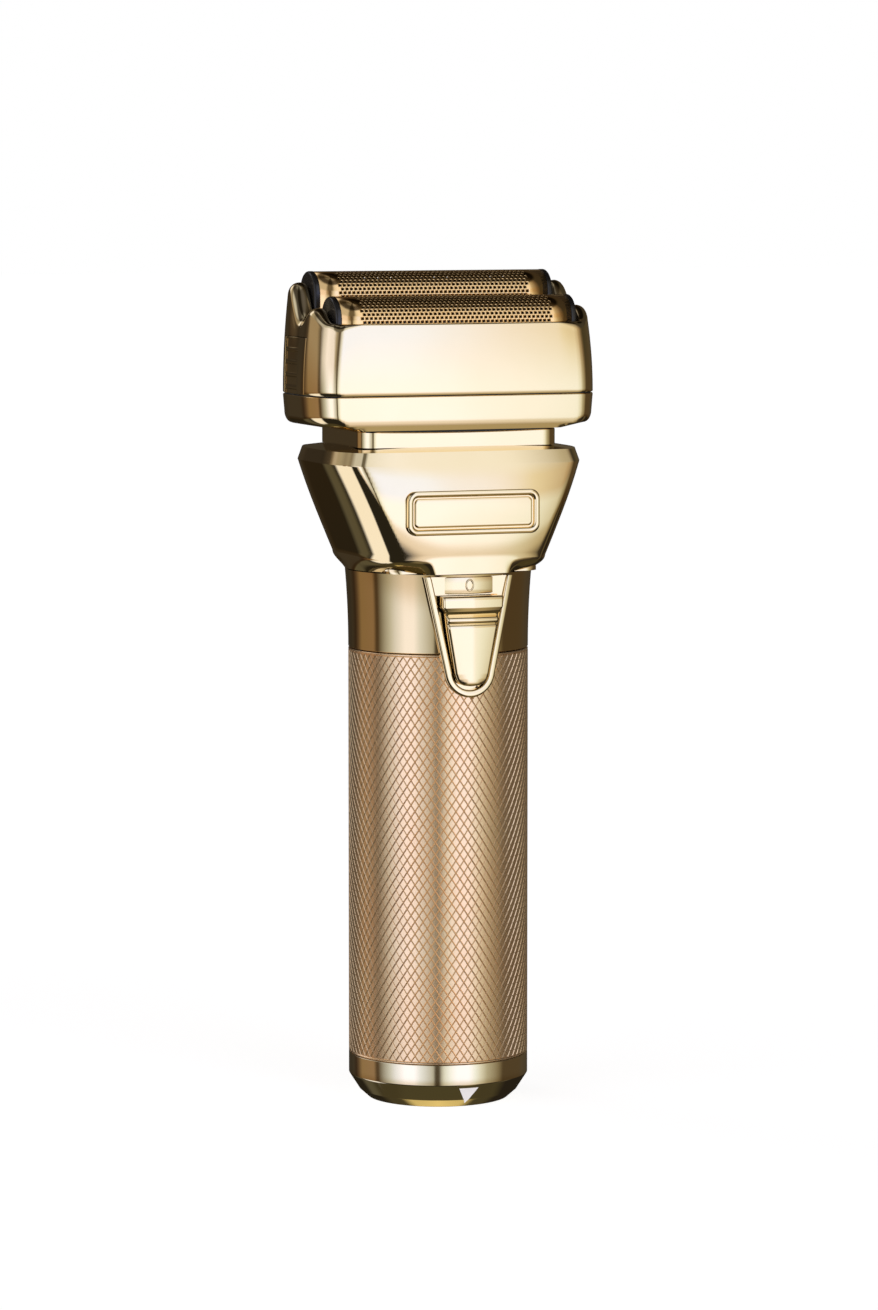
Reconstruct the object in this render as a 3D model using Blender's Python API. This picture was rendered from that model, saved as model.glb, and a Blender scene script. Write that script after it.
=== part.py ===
"""Cordless double-foil shaver. Metres, +Z up, front towards -Y, origin under the grip's axis."""

import math

import bmesh
import bpy
from mathutils import Matrix, Vector

MM = 0.001
GAP = 0.3 * MM
ROUND_STEPS = 40

# Grip and collar
GRIP_RADIUS = 17.75 * MM
GRIP_BORE = 15.6 * MM
BASE_RADIUS = 13.9 * MM
BASE_BORE = 11.8 * MM
CHAMFER_TOP = 4.8 * MM
BASE_TOP = 9.0 * MM
GRIP_TOP = 89.7 * MM
COLLAR_TOP = 105.4 * MM
COLLAR_TOP_RADIUS = 18.4 * MM

# Chassis and its load
CHASSIS_RADIUS = 14.6 * MM
CHASSIS_BORE = 13.2 * MM
CHASSIS_BOTTOM = 5.7 * MM
BASE_BOARD = 7.6 * MM
CHASSIS_TOP = 121.5 * MM
BATTERY_RADIUS = 9.2 * MM
BATTERY_BOTTOM = 13.0 * MM
BATTERY_LENGTH = 65.0 * MM
BOARD_Y = -11.6 * MM
BOARD_THICKNESS = 1.2 * MM
MOTOR_RADIUS = 8.5 * MM
MOTOR_BOTTOM = 96.0 * MM
MOTOR_TOP = 119.0 * MM

# Neck
NECK_TOP = 130.0 * MM
NECK_WIDTH = 52.6 * MM
NECK_DEPTH = 38.8 * MM

# Head base and its pedestal
PEDESTAL_WIDTH = 41.0 * MM
PEDESTAL_DEPTH = 30.0 * MM
HEAD_BOTTOM = 133.2 * MM
SEAM = 139.9 * MM
HEAD_WIDTH = 60.0 * MM
HEAD_DEPTH = 27.0 * MM
HEAD_CORNER = (5.2 * MM, 10.0 * MM)

# Foils and cutters
FOIL_SPACING = 12.7 * MM
FOIL_RADIUS = 4.5 * MM
FOIL_THICKNESS = 0.3 * MM
FOIL_LENGTH = 46.2 * MM
FRAME_LENGTH = 50.0 * MM
FRONT_FOIL_AXIS = 154.5 * MM
REAR_STEP = 4.6 * MM
FOIL_SKIRT = 4.6 * MM
WINDOW_WIDTH = 50.6 * MM
WINDOW_DEPTH = 22.5 * MM
WINDOW_CORNER = 0.5 * MM
CAP_SHOULDER = 152.1 * MM
CUTTER_RADIUS = 3.9 * MM
CUTTER_LENGTH = 42.0 * MM
BLADE_COUNT = 15

# Switch on the front
WELL_BOTTOM = 81.2 * MM
WELL_TOP = 105.2 * MM
BEZEL_FRONT = -18.6 * MM
BEZEL_BACK = -15.0 * MM
BEZEL_HALF = 9.4 * MM
BEZEL_ROUND = 5.2 * MM
WELL_FLOOR = -16.8 * MM
SLIDER_TRAVEL = 3.5 * MM

# Drive
ROD_Z = 137.6 * MM
ROD_Y = 9.4 * MM
ROD_RADIUS = 1.0 * MM
STROKE = 1.0 * MM

# Charging socket
CONTACT_X = 8.2 * MM
SOCKET_WIDTH = 9.4 * MM
SOCKET_DEPTH = 3.6 * MM

# Switch slider
STEM_HALF = 1.5 * MM
STEM_LOW = 90.5 * MM
STEM_HIGH = 93.5 * MM
SLIDER_TOP = 101.3 * MM
SLIDER_BOTTOM = 84.0 * MM

# Motor
SCREW_X = 6.6 * MM
SHAFT_RADIUS = 1.0 * MM
PIN_OFFSET = STROKE
PIN_TOP = 135.2 * MM

# Spigot and badge
SPIGOT_WIDTH = 35.0 * MM
SPIGOT_DEPTH = 24.0 * MM
BADGE_WIDTH = 27.3 * MM
BADGE_HEIGHT = 8.6 * MM
BADGE_Z = 117.5 * MM

# Cutter posts and springs
POST_RADIUS = 1.5 * MM
SPRING_SEAT = 143.0 * MM

# Release buttons
BUTTON_HALF = 5.6 * MM
BUTTON_TOP = 151.0 * MM
RIB_COUNT = 5


def clear_scene():
    for obj in list(bpy.data.objects):
        bpy.data.objects.remove(obj, do_unlink=True)


def finish_material(name, colour, roughness, metallic):
    mat = bpy.data.materials.get(name)
    if mat is None:
        mat = bpy.data.materials.new(name)
        mat.use_nodes = True
        shader = mat.node_tree.nodes["Principled BSDF"]
        shader.inputs["Base Color"].default_value = (*colour, 1.0)
        shader.inputs["Roughness"].default_value = roughness
        shader.inputs["Metallic"].default_value = metallic
    return mat


def champagne_gold():
    return finish_material("champagne_gold", (0.86, 0.70, 0.42), 0.08, 1.0)


def pale_gold():
    return finish_material("pale_gold", (0.80, 0.70, 0.52), 0.1, 1.0)


def rose_gold():
    return finish_material("rose_gold", (0.80, 0.55, 0.38), 0.35, 1.0)


def foil_gold():
    return finish_material("foil_gold", (0.78, 0.48, 0.18), 0.25, 1.0)


def black_plastic():
    return finish_material("black_plastic", (0.02, 0.02, 0.02), 0.35, 0.0)


def grey_plastic():
    return finish_material("grey_plastic", (0.25, 0.25, 0.26), 0.5, 0.0)


def steel():
    return finish_material("steel", (0.6, 0.6, 0.6), 0.25, 1.0)


def spring_steel():
    return finish_material("spring_steel", (0.45, 0.45, 0.46), 0.3, 1.0)


def board_green():
    return finish_material("board_green", (0.03, 0.18, 0.08), 0.5, 0.0)


def battery_wrap():
    return finish_material("battery_wrap", (0.05, 0.16, 0.35), 0.4, 0.0)


def black_rubber():
    return finish_material("black_rubber", (0.03, 0.03, 0.03), 0.8, 0.0)


def pale_lens():
    return finish_material("pale_lens", (0.8, 0.75, 0.75), 0.3, 0.0)


def add_object(name, bm, material, origin=(0.0, 0.0, 0.0)):
    """Turns a bmesh in world coordinates into a named object with its origin where it is asked."""
    bmesh.ops.recalc_face_normals(bm, faces=bm.faces[:])
    bmesh.ops.translate(bm, verts=bm.verts[:], vec=-Vector(origin))
    mesh = bpy.data.meshes.new(name)
    bm.to_mesh(mesh)
    bm.free()
    mesh.shade_smooth()
    mesh.set_sharp_from_angle(angle=math.radians(35))
    obj = bpy.data.objects.new(name, mesh)
    obj.location = origin
    bpy.context.scene.collection.objects.link(obj)
    if material is not None:
        mesh.materials.append(material)
    return obj


def as_helper(obj):
    obj.hide_render = True
    obj.display_type = "WIRE"
    return obj


def combine(obj, helper, operation):
    modifier = obj.modifiers.new(helper.name, "BOOLEAN")
    modifier.operation = operation
    modifier.object = as_helper(helper)
    modifier.solver = "EXACT"
    return obj


def cut(obj, *helpers):
    for helper in helpers:
        combine(obj, helper, "DIFFERENCE")
    return obj


def fuse(obj, *helpers):
    for helper in helpers:
        combine(obj, helper, "UNION")
    return obj


def turned(profile, centre=(0.0, 0.0), steps=ROUND_STEPS):
    """A closed outline of (radius, height) points turned about the vertical line through centre."""
    bm = bmesh.new()
    loop = [bm.verts.new((centre[0] + radius, centre[1], height)) for radius, height in profile]
    edges = [bm.edges.new((loop[i], loop[(i + 1) % len(loop)])) for i in range(len(loop))]
    bmesh.ops.spin(
        bm,
        geom=loop + edges,
        cent=(centre[0], centre[1], 0.0),
        axis=(0.0, 0.0, 1.0),
        angle=2.0 * math.pi,
        steps=steps,
        use_merge=True,
    )
    bmesh.ops.remove_doubles(bm, verts=bm.verts[:], dist=0.001 * MM)
    return bm


def lofted(rings, closed=False):
    """Skins rings of equal point counts; the ends are capped, or joined to each other when closed."""
    bm = bmesh.new()
    rows = [[bm.verts.new(point) for point in ring] for ring in rings]
    count = len(rows[0])
    pairs = list(zip(rows, rows[1:] + rows[:1])) if closed else list(zip(rows, rows[1:]))
    for low, high in pairs:
        for i in range(count):
            j = (i + 1) % count
            bm.faces.new((low[i], low[j], high[j], high[i]))
    if not closed:
        bm.faces.new(rows[0])
        bm.faces.new(rows[-1])
    return bm


def block(low, high, bevel=0.0):
    """A box between two corners, with its edges rounded off by one flat each when bevel is set."""
    bm = bmesh.new()
    size = [high[axis] - low[axis] for axis in range(3)]
    middle = [(high[axis] + low[axis]) / 2 for axis in range(3)]
    placed = Matrix.Translation(middle) @ Matrix.Diagonal((*size, 1.0))
    bmesh.ops.create_cube(bm, size=1.0, matrix=placed)
    if bevel:
        bmesh.ops.bevel(bm, geom=bm.edges[:], offset=bevel, segments=1, affect="EDGES")
    return bm


def rod(start, end, radius, steps=16):
    """A plain round bar between two points."""
    bm = bmesh.new()
    start, end = Vector(start), Vector(end)
    along = end - start
    turn = along.to_track_quat("Z", "Y").to_matrix().to_4x4()
    placed = Matrix.Translation((start + end) / 2) @ turn
    bmesh.ops.create_cone(
        bm,
        cap_ends=True,
        segments=steps,
        radius1=radius,
        radius2=radius,
        depth=along.length,
        matrix=placed,
    )
    return bm


def rounded_rectangle(width, depth, corner, steps=6):
    """Points of a rounded rectangle about the origin, anticlockwise from the right side.

    corner is a radius, or the two half axes of an elliptical corner along X and Y."""
    along_x, along_y = corner if isinstance(corner, tuple) else (corner, corner)
    points = []
    for quarter in range(4):
        sign_x = (1, -1, -1, 1)[quarter]
        sign_y = (1, 1, -1, -1)[quarter]
        centre_x = sign_x * (width / 2 - along_x)
        centre_y = sign_y * (depth / 2 - along_y)
        for step in range(steps + 1):
            angle = math.pi / 2 * (quarter + step / steps)
            points.append((centre_x + along_x * math.cos(angle), centre_y + along_y * math.sin(angle)))
    return points


def shrunk(corner, amount):
    """A corner's half axes, each less by an amount."""
    return (corner[0] - amount, corner[1] - amount)


def ring_at(height, width, depth, corner, steps=6):
    return [(x, y, height) for x, y in rounded_rectangle(width, depth, corner, steps)]


def coil_spring(foot, top, radius, wire, turns, steps=9, sides=5):
    """A compression spring about a vertical line, as one closed tube with capped ends."""
    base = Vector(foot)
    rise = top - foot[2]
    rings = []
    total = int(turns * steps)
    for step in range(total + 1):
        angle = 2.0 * math.pi * step / steps
        out = Vector((math.cos(angle), math.sin(angle), 0.0))
        centre = base + out * radius + Vector((0.0, 0.0, wire + (rise - 2 * wire) * step / total))
        ring = []
        for side in range(sides):
            around = 2.0 * math.pi * side / sides
            ring.append(centre + out * wire * math.cos(around) + Vector((0, 0, wire * math.sin(around))))
        rings.append(ring)
    return lofted(rings)


# Grip end

def make_base_ring():
    inner_floor = 3.2 * MM
    ring = turned([
        (BASE_RADIUS, 0.0),
        (GRIP_RADIUS, CHAMFER_TOP),
        (GRIP_RADIUS, BASE_TOP - GAP / 2),
        (GRIP_BORE, BASE_TOP - GAP / 2),
        (GRIP_BORE, inner_floor),
        (BASE_BORE, inner_floor),
        (BASE_BORE, 0.0),
    ])
    ring = add_object("base_ring", ring, pale_gold())
    slot = triangle_prism(GAP, 5.0 * MM)
    return cut(ring, as_helper(add_object("lens_slot_cutter", slot, None)))


def triangle_prism(margin, depth):
    """The charge light's triangle, point down, on the chamfer at the front."""
    half = 1.95 * MM + margin
    top = CHAMFER_TOP - 0.2 * MM + margin
    bottom = 1.1 * MM - margin
    slope = (GRIP_RADIUS - BASE_RADIUS) / CHAMFER_TOP
    rings = []
    for back in (0.0, depth):
        ring = []
        for x, z in ((-half, top), (half, top), (0.0, bottom)):
            face = math.sqrt((BASE_RADIUS + slope * z) ** 2 - x * x)
            ring.append((x, -face + back - margin, z))
        rings.append(ring)
    return lofted(rings)


def make_charge_light_lens():
    return add_object("charge_light_lens", triangle_prism(0.0, 1.1 * MM), pale_lens())


def make_base_cap():
    face = 0.5 * MM
    flange = 3.2 * MM + GAP
    plug = BASE_BORE - GAP
    cap = turned([
        (0.0, face),
        (plug, face),
        (plug, flange),
        (CHASSIS_RADIUS, flange),
        (CHASSIS_RADIUS, flange + 1.8 * MM),
        (0.0, flange + 1.8 * MM),
    ])
    cap = add_object("base_cap", cap, black_plastic())
    port = lofted([
        ring_at_socket(-1.0 * MM, GAP),
        ring_at_socket(8.0 * MM, GAP),
    ])
    cut(cap, add_object("port_cutter", port, None))
    for side in (-1, 1):
        hole = turned([(0.0, -1.0 * MM), (1.8 * MM, -1.0 * MM), (1.8 * MM, 8.0 * MM), (0.0, 8.0 * MM)],
                      centre=(side * CONTACT_X, 0.0), steps=16)
        cut(cap, add_object(f"contact_cutter_{side + 1}", hole, None))
    return cap


def ring_at_socket(height, margin):
    """The charging socket's outline, grown by a margin."""
    return ring_at(height, SOCKET_WIDTH + 2 * margin, SOCKET_DEPTH + 2 * margin, 1.5 * MM + margin, 3)


def make_charging_socket():
    top = BASE_BOARD - GAP
    shell = lofted([ring_at_socket(0.7 * MM, 0.0), ring_at_socket(top, 0.0)])
    shell = add_object("charging_socket", shell, steel())
    hollow = lofted([ring_at_socket(0.0, -0.4 * MM), ring_at_socket(top - MM, -0.4 * MM)])
    return cut(shell, add_object("socket_hollow_cutter", hollow, None))


def make_charging_contact(name, side):
    low, high, radius = 0.6 * MM, BASE_BOARD - GAP, 1.5 * MM
    pad = turned([(0.0, low), (radius, low), (radius, high), (0.0, high)],
                 centre=(side * CONTACT_X, 0.0), steps=16)
    return add_object(name, pad, foil_gold())


def make_base_board():
    """The small round board over the base cap, which the socket and the battery's foot meet."""
    radius = CHASSIS_BORE - GAP
    top = BASE_BOARD + BOARD_THICKNESS
    disc = turned([(0.0, BASE_BOARD), (radius, BASE_BOARD), (radius, top), (0.0, top)], steps=28)
    return add_object("base_board", disc, board_green())


def make_o_ring():
    """A seal seated on the base ring, round the chassis' foot."""
    middle = (CHASSIS_RADIUS + GRIP_BORE) / 2
    radius = (GRIP_BORE - CHASSIS_RADIUS) / 2 - 0.1 * MM
    height = 7.4 * MM
    profile = []
    for step in range(6):
        angle = math.pi / 3 * step
        profile.append((middle + radius * math.cos(angle), height + radius * math.sin(angle)))
    return add_object("base_o_ring", turned(profile, steps=28), black_rubber())


# Switch

def shield_outline(inset, rise=0.0):
    """Front outline of the switch bezel: a flat top, straight converging sides and a round bottom.

    Points are (x, z). inset draws the same outline that much further in, and rise lifts its top."""
    round_centre = WELL_BOTTOM + BEZEL_ROUND
    flare = (BEZEL_HALF - BEZEL_ROUND) / (WELL_TOP - round_centre)
    round_radius = BEZEL_ROUND - inset
    top_half = BEZEL_HALF - inset + rise * flare
    top = WELL_TOP - inset + rise
    tilt = math.atan(flare)
    points = [(top_half, top), (-top_half, top)]
    steps = 8
    for step in range(steps + 1):
        angle = math.pi + tilt * 0.5 + (math.pi - tilt) * step / steps
        points.append((round_radius * math.cos(angle), round_centre + round_radius * math.sin(angle)))
    return points


def shield_prism(inset, front, back, rise=0.0):
    """The outline swept from a back plane to a front that bows like the barrel, only flatter."""
    bow = 36.0 * MM
    outline = shield_outline(inset, rise)
    front_ring = []
    for x, z in outline:
        front_ring.append((x, front + bow - math.sqrt(bow * bow - x * x), z))
    back_ring = [(x, back, z) for x, z in outline]
    return lofted([back_ring, front_ring])


def make_switch_bezel():
    """The rim round the slider, open at its top, and the floor that the slider runs on."""
    bezel = add_object("switch_bezel", shield_prism(0.0, BEZEL_FRONT, BEZEL_BACK), champagne_gold())
    hollow = shield_prism(1.5 * MM, BEZEL_FRONT - 2 * MM, WELL_FLOOR, 3.0 * MM)
    pocket = add_object("well_cutter", hollow, None)
    slot = block((-STEM_HALF - GAP, BEZEL_FRONT, STEM_LOW - GAP),
                 (STEM_HALF + GAP, BEZEL_BACK + MM, STEM_HIGH + SLIDER_TRAVEL + GAP))
    return cut(bezel, pocket, add_object("stem_slot_cutter", slot, None))


def make_switch_slider():
    """The thumb piece, its cross ridge and the stem that reaches through the bezel."""
    back = WELL_FLOOR - GAP
    outline = [
        (6.3 * MM, SLIDER_TOP), (-6.3 * MM, SLIDER_TOP), (-6.3 * MM, 98.0 * MM),
        (-5.2 * MM, 96.0 * MM), (-3.2 * MM, 85.2 * MM), (-1.8 * MM, SLIDER_BOTTOM),
        (1.8 * MM, SLIDER_BOTTOM), (3.2 * MM, 85.2 * MM), (5.2 * MM, 96.0 * MM), (6.3 * MM, 98.0 * MM),
    ]
    rings = [[(x, back, z) for x, z in outline], [(x, back - 2.9 * MM, z) for x, z in outline]]
    slider = add_object("switch_slider", lofted(rings), champagne_gold(), (0.0, back, SLIDER_BOTTOM))
    ridge = block((-4.8 * MM, back - 3.3 * MM, 95.8 * MM), (4.8 * MM, back - 1.0 * MM, 97.2 * MM), 0.3 * MM)
    stem = block((-STEM_HALF, back - 0.5 * MM, STEM_LOW), (STEM_HALF, -12.9 * MM, STEM_HIGH))
    return fuse(slider, add_object("ridge_joined", ridge, None), add_object("stem_joined", stem, None))


def shield_cutter(name):
    """The opening that the bezel sits in, one gap larger all round."""
    return add_object(name, shield_prism(-GAP, BEZEL_FRONT - 3 * MM, BEZEL_BACK + 3 * MM), None)


def make_grip_sleeve():
    bottom = BASE_TOP + GAP / 2
    top = GRIP_TOP - GAP / 2
    sleeve = turned([
        (GRIP_RADIUS, bottom), (GRIP_RADIUS, top), (GRIP_BORE, top), (GRIP_BORE, bottom),
    ])
    sleeve = add_object("grip_sleeve", sleeve, rose_gold())
    return cut(sleeve, shield_cutter("grip_notch_cutter"))


def make_collar():
    bottom = GRIP_TOP + GAP / 2
    top = COLLAR_TOP - GAP / 2
    steps = 4
    outer = []
    for step in range(steps + 1):
        share = step / steps
        outer.append((GRIP_RADIUS + (COLLAR_TOP_RADIUS - GRIP_RADIUS) * share ** 2,
                      bottom + (top - bottom) * share))
    collar = turned([*outer, (GRIP_BORE, top), (GRIP_BORE, bottom)])
    collar = add_object("collar", collar, pale_gold())
    return cut(collar, shield_cutter("collar_notch_cutter"))


# Inner chassis

def make_chassis():
    """Inner tube with a floor over the base cap and a window for the control board at the front."""
    tube = turned([
        (CHASSIS_RADIUS, CHASSIS_BOTTOM), (CHASSIS_RADIUS, CHASSIS_TOP),
        (CHASSIS_BORE, CHASSIS_TOP), (CHASSIS_BORE, CHASSIS_BOTTOM),
    ])
    chassis = add_object("chassis", tube, grey_plastic())
    window = block((-9.8 * MM, -20 * MM, 80.8 * MM), (9.8 * MM, -9.0 * MM, 106.0 * MM))
    cut(chassis, add_object("chassis_window_cutter", window, None))
    shelf_low, shelf_high, shelf_radius = 81.6 * MM, 82.8 * MM, CHASSIS_BORE + 0.5 * MM
    shelf_low_edge = [(0.0, shelf_low), (shelf_radius, shelf_low)]
    shelf_high_edge = [(shelf_radius, shelf_high), (0.0, shelf_high)]
    shelf = turned(shelf_low_edge + shelf_high_edge, steps=24)
    shelf = add_object("chassis_shelf_joined", shelf, None)
    shelf_cut = block((-12 * MM, -20 * MM, 80 * MM), (12 * MM, -8.6 * MM, 84 * MM))
    cut(shelf, add_object("shelf_front_cutter", shelf_cut, None))
    return fuse(chassis, shelf)


def make_battery():
    top = BATTERY_BOTTOM + BATTERY_LENGTH
    nub = 3.0 * MM
    cell = turned([
        (0.0, BATTERY_BOTTOM), (BATTERY_RADIUS, BATTERY_BOTTOM), (BATTERY_RADIUS, top - 1.2 * MM),
        (nub, top - 1.2 * MM), (nub, top), (0.0, top),
    ], steps=24)
    return add_object("battery_cell", cell, battery_wrap())


def make_battery_contact(name, foot, top):
    return add_object(name, coil_spring((0.0, 0.0, foot), top, 3.4 * MM, 0.35 * MM, 2.5), spring_steel())


def make_control_board():
    board = block((-6.5 * MM, BOARD_Y, 81.2 * MM), (6.5 * MM, BOARD_Y + BOARD_THICKNESS, 105.5 * MM))
    return add_object("control_board", board, board_green())


def make_switch_body():
    """The slide switch soldered to the board; its channel takes the slider's stem."""
    low, high = 87.5 * MM, 99.5 * MM
    body = block((-3.2 * MM, -14.0 * MM, low), (3.2 * MM, BOARD_Y - GAP, high))
    body = add_object("slide_switch", body, black_plastic())
    channel = block((-STEM_HALF - GAP, -16 * MM, STEM_LOW - GAP),
                    (STEM_HALF + GAP, -12.6 * MM, STEM_HIGH + SLIDER_TRAVEL + GAP))
    return cut(body, add_object("switch_channel_cutter", channel, None))


# Motor

def make_motor_can():
    can = turned([
        (0.0, MOTOR_BOTTOM), (MOTOR_RADIUS, MOTOR_BOTTOM), (MOTOR_RADIUS, MOTOR_TOP),
        (SHAFT_RADIUS + GAP, MOTOR_TOP), (SHAFT_RADIUS + GAP, MOTOR_BOTTOM + 3 * MM),
        (0.0, MOTOR_BOTTOM + 3 * MM),
    ], steps=28)
    return add_object("motor_can", can, steel())


def make_motor_plate():
    """Plate on the chassis' end that the motor hangs from."""
    low = CHASSIS_TOP + GAP
    plate = turned([
        (SHAFT_RADIUS + 3 * MM, low), (CHASSIS_RADIUS, low),
        (CHASSIS_RADIUS, low + 1.6 * MM), (SHAFT_RADIUS + 3 * MM, low + 1.6 * MM),
    ], steps=28)
    boss = turned([
        (SHAFT_RADIUS + 3 * MM, MOTOR_TOP + GAP), (MOTOR_RADIUS, MOTOR_TOP + GAP),
        (MOTOR_RADIUS, low + 0.5 * MM), (SHAFT_RADIUS + 3 * MM, low + 0.5 * MM),
    ], steps=28)
    plate = add_object("motor_plate", plate, grey_plastic())
    fuse(plate, add_object("motor_boss_joined", boss, None))
    for side in (-1, 1):
        hole = rod((side * SCREW_X, 0, MOTOR_TOP - MM), (side * SCREW_X, 0, low + 3 * MM), 1.1 * MM + GAP, 12)
        cut(plate, add_object(f"screw_hole_cutter_{side + 1}", hole, None))
    return plate


def make_motor_screw(name, side):
    seat = CHASSIS_TOP + GAP + 1.6 * MM + GAP
    screw = turned([
        (0.0, MOTOR_TOP + GAP), (1.1 * MM, MOTOR_TOP + GAP), (1.1 * MM, seat),
        (2.0 * MM, seat), (2.0 * MM, seat + 1.1 * MM), (0.0, seat + 1.1 * MM),
    ], centre=(side * SCREW_X, 0.0), steps=12)
    return add_object(name, screw, steel())


def make_motor_rotor():
    """Shaft with a balanced eccentric whose pin drives the bridge; its origin is on the shaft's axis."""
    hub_low, hub_high = 124.6 * MM, 129.0 * MM
    rotor = turned([
        (0.0, MOTOR_BOTTOM + 3.5 * MM), (SHAFT_RADIUS, MOTOR_BOTTOM + 3.5 * MM),
        (SHAFT_RADIUS, hub_low), (3.6 * MM, hub_low), (3.6 * MM, hub_high), (0.0, hub_high),
    ], steps=20)
    rotor = add_object("motor_rotor", rotor, steel())
    pin = rod((0.0, PIN_OFFSET, hub_high - MM), (0.0, PIN_OFFSET, PIN_TOP), 1.0 * MM, 12)
    return fuse(rotor, add_object("eccentric_pin_joined", pin, None))


# Neck

def neck_section(height):
    """(width, depth, corner) of the neck at a height: round foot, squarer flare, even taper, bevel."""
    foot, flare, widest = COLLAR_TOP, 107.9 * MM, 127.0 * MM
    foot_width, flare_width, flare_depth = 37.2 * MM, 37.4 * MM, 38.2 * MM
    foot_corner = foot_width / 2 - 0.1 * MM
    flare_corner = (5.6 * MM, 12.5 * MM)
    if height <= flare:
        share = math.sin(math.pi / 2 * (height - foot) / (flare - foot))
        corner = tuple(foot_corner + (there - foot_corner) * share for there in flare_corner)
        return (foot_width + (flare_width - foot_width) * share,
                foot_width + (flare_depth - foot_width) * share, corner)
    if height <= widest:
        share = (height - flare) / (widest - flare)
        bulge = math.sin(math.pi * min(1.0, 0.5 + 0.55 * abs(share - 0.42) / 0.58))
        return (flare_width + (NECK_WIDTH - flare_width) * share,
                flare_depth + (NECK_DEPTH - flare_depth) * bulge - 1.6 * MM * share ** 3, flare_corner)
    share = (height - widest) / (NECK_TOP - widest)
    width, depth, corner = neck_section(widest)
    return (width - 4.6 * MM * share, depth - 4.6 * MM * share, shrunk(corner, 1.4 * MM * share))


def make_neck_shell():
    """The housing under the head: open below over the collar and open above round the pedestal."""
    foot = COLLAR_TOP + GAP / 2
    outer = [foot, 106.2 * MM, 107.9 * MM, 112.0 * MM, 116.0 * MM]
    outer += [121.5 * MM, 127.0 * MM, 129.6 * MM, NECK_TOP]
    rings = [ring_at(z, *neck_section(z)) for z in outer]
    bore = GRIP_BORE
    inside = [
        (NECK_TOP, SPIGOT_WIDTH + 2 * GAP, SPIGOT_DEPTH + 2 * GAP, 3.3 * MM),
        (127.6 * MM, SPIGOT_WIDTH + 2 * GAP, SPIGOT_DEPTH + 2 * GAP, 3.3 * MM),
        (127.2 * MM, 46.0 * MM, 31.0 * MM, 7.0 * MM),
        (112.0 * MM, 34.0 * MM, 33.0 * MM, 13.0 * MM),
        (foot, 2 * bore, 2 * bore, bore - 0.1 * MM),
    ]
    rings += [ring_at(*section) for section in inside]
    neck = add_object("neck_shell", lofted(rings, closed=True), champagne_gold())
    flange = block((-7.7 * MM, -20.0 * MM, foot), (7.7 * MM, -17.0 * MM, 109.0 * MM), 0.4 * MM)
    return fuse(neck, add_object("neck_flange_joined", flange, None))


def badge_ring(y, width, height, corner):
    return [(x, y, BADGE_Z + z) for x, z in rounded_rectangle(width, height, corner, 3)]


def make_badge():
    """The framed plate on the neck's front, with its middle recessed and left blank."""
    seat = -NECK_DEPTH / 2 - GAP
    rings = [
        badge_ring(seat, BADGE_WIDTH, BADGE_HEIGHT, 1.7 * MM),
        badge_ring(seat - 0.5 * MM, BADGE_WIDTH, BADGE_HEIGHT, 1.7 * MM),
        badge_ring(seat - 0.8 * MM, BADGE_WIDTH - 0.8 * MM, BADGE_HEIGHT - 0.8 * MM, 1.3 * MM),
        badge_ring(seat - 0.8 * MM, BADGE_WIDTH - 2.4 * MM, BADGE_HEIGHT - 1.6 * MM, 0.9 * MM),
        badge_ring(seat - 0.5 * MM, BADGE_WIDTH - 3.2 * MM, BADGE_HEIGHT - 2.4 * MM, 0.6 * MM),
    ]
    return add_object("badge", lofted(rings), champagne_gold())


# Head base

def make_head_base():
    """The fixed lower head: a tray on a pedestal, with supports for the guide rods."""
    floor = 135.6 * MM
    wall = 1.6 * MM
    spigot_bottom = 127.9 * MM
    rings = [
        ring_at(spigot_bottom, SPIGOT_WIDTH, SPIGOT_DEPTH, 3.0 * MM),
        ring_at(NECK_TOP + GAP, SPIGOT_WIDTH, SPIGOT_DEPTH, 3.0 * MM),
        ring_at(NECK_TOP + GAP, PEDESTAL_WIDTH, PEDESTAL_DEPTH - 2.6 * MM, 3.0 * MM),
        ring_at(HEAD_BOTTOM - 0.4 * MM, PEDESTAL_WIDTH, PEDESTAL_DEPTH - 3.2 * MM, 3.0 * MM),
        ring_at(HEAD_BOTTOM, 44.0 * MM, 25.0 * MM, 4.0 * MM),
        ring_at(134.0 * MM, 53.0 * MM, 25.6 * MM, (5.0 * MM, 8.0 * MM)),
        ring_at(135.2 * MM, 57.6 * MM, 26.5 * MM, (5.2 * MM, 9.5 * MM)),
        ring_at(137.0 * MM, 58.9 * MM, 26.9 * MM, HEAD_CORNER),
        ring_at(SEAM - GAP / 2, HEAD_WIDTH, HEAD_DEPTH, HEAD_CORNER),
        ring_at(SEAM - GAP / 2, HEAD_WIDTH - 2 * wall, HEAD_DEPTH - 2 * wall, shrunk(HEAD_CORNER, wall)),
        ring_at(floor, HEAD_WIDTH - 2 * wall - MM, HEAD_DEPTH - 2 * wall, shrunk(HEAD_CORNER, wall)),
        ring_at(floor, 26.0 * MM, 14.0 * MM, 2.0 * MM),
        ring_at(spigot_bottom, 26.0 * MM, 14.0 * MM, 2.0 * MM),
    ]
    base = add_object("head_base", lofted(rings, closed=True), champagne_gold())
    for side in (-1, 1):
        for face in (-1, 1):
            near, far = side * 21.5 * MM, side * 25.5 * MM
            support = block((min(near, far), face * ROD_Y - 2 * MM, floor - 0.3 * MM),
                            (max(near, far), face * ROD_Y + 2 * MM, ROD_Z + 1.6 * MM))
            fuse(base, add_object(f"rod_support_{side + 1}_{face + 1}", support, None))
    for face in (-1, 1):
        ends = [(side * 24.5 * MM, face * ROD_Y, ROD_Z) for side in (-1, 1)]
        bore = rod(*ends, ROD_RADIUS + GAP / 2, 12)
        cut(base, add_object(f"rod_bore_cutter_{face + 1}", bore, None))
    return base


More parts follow.
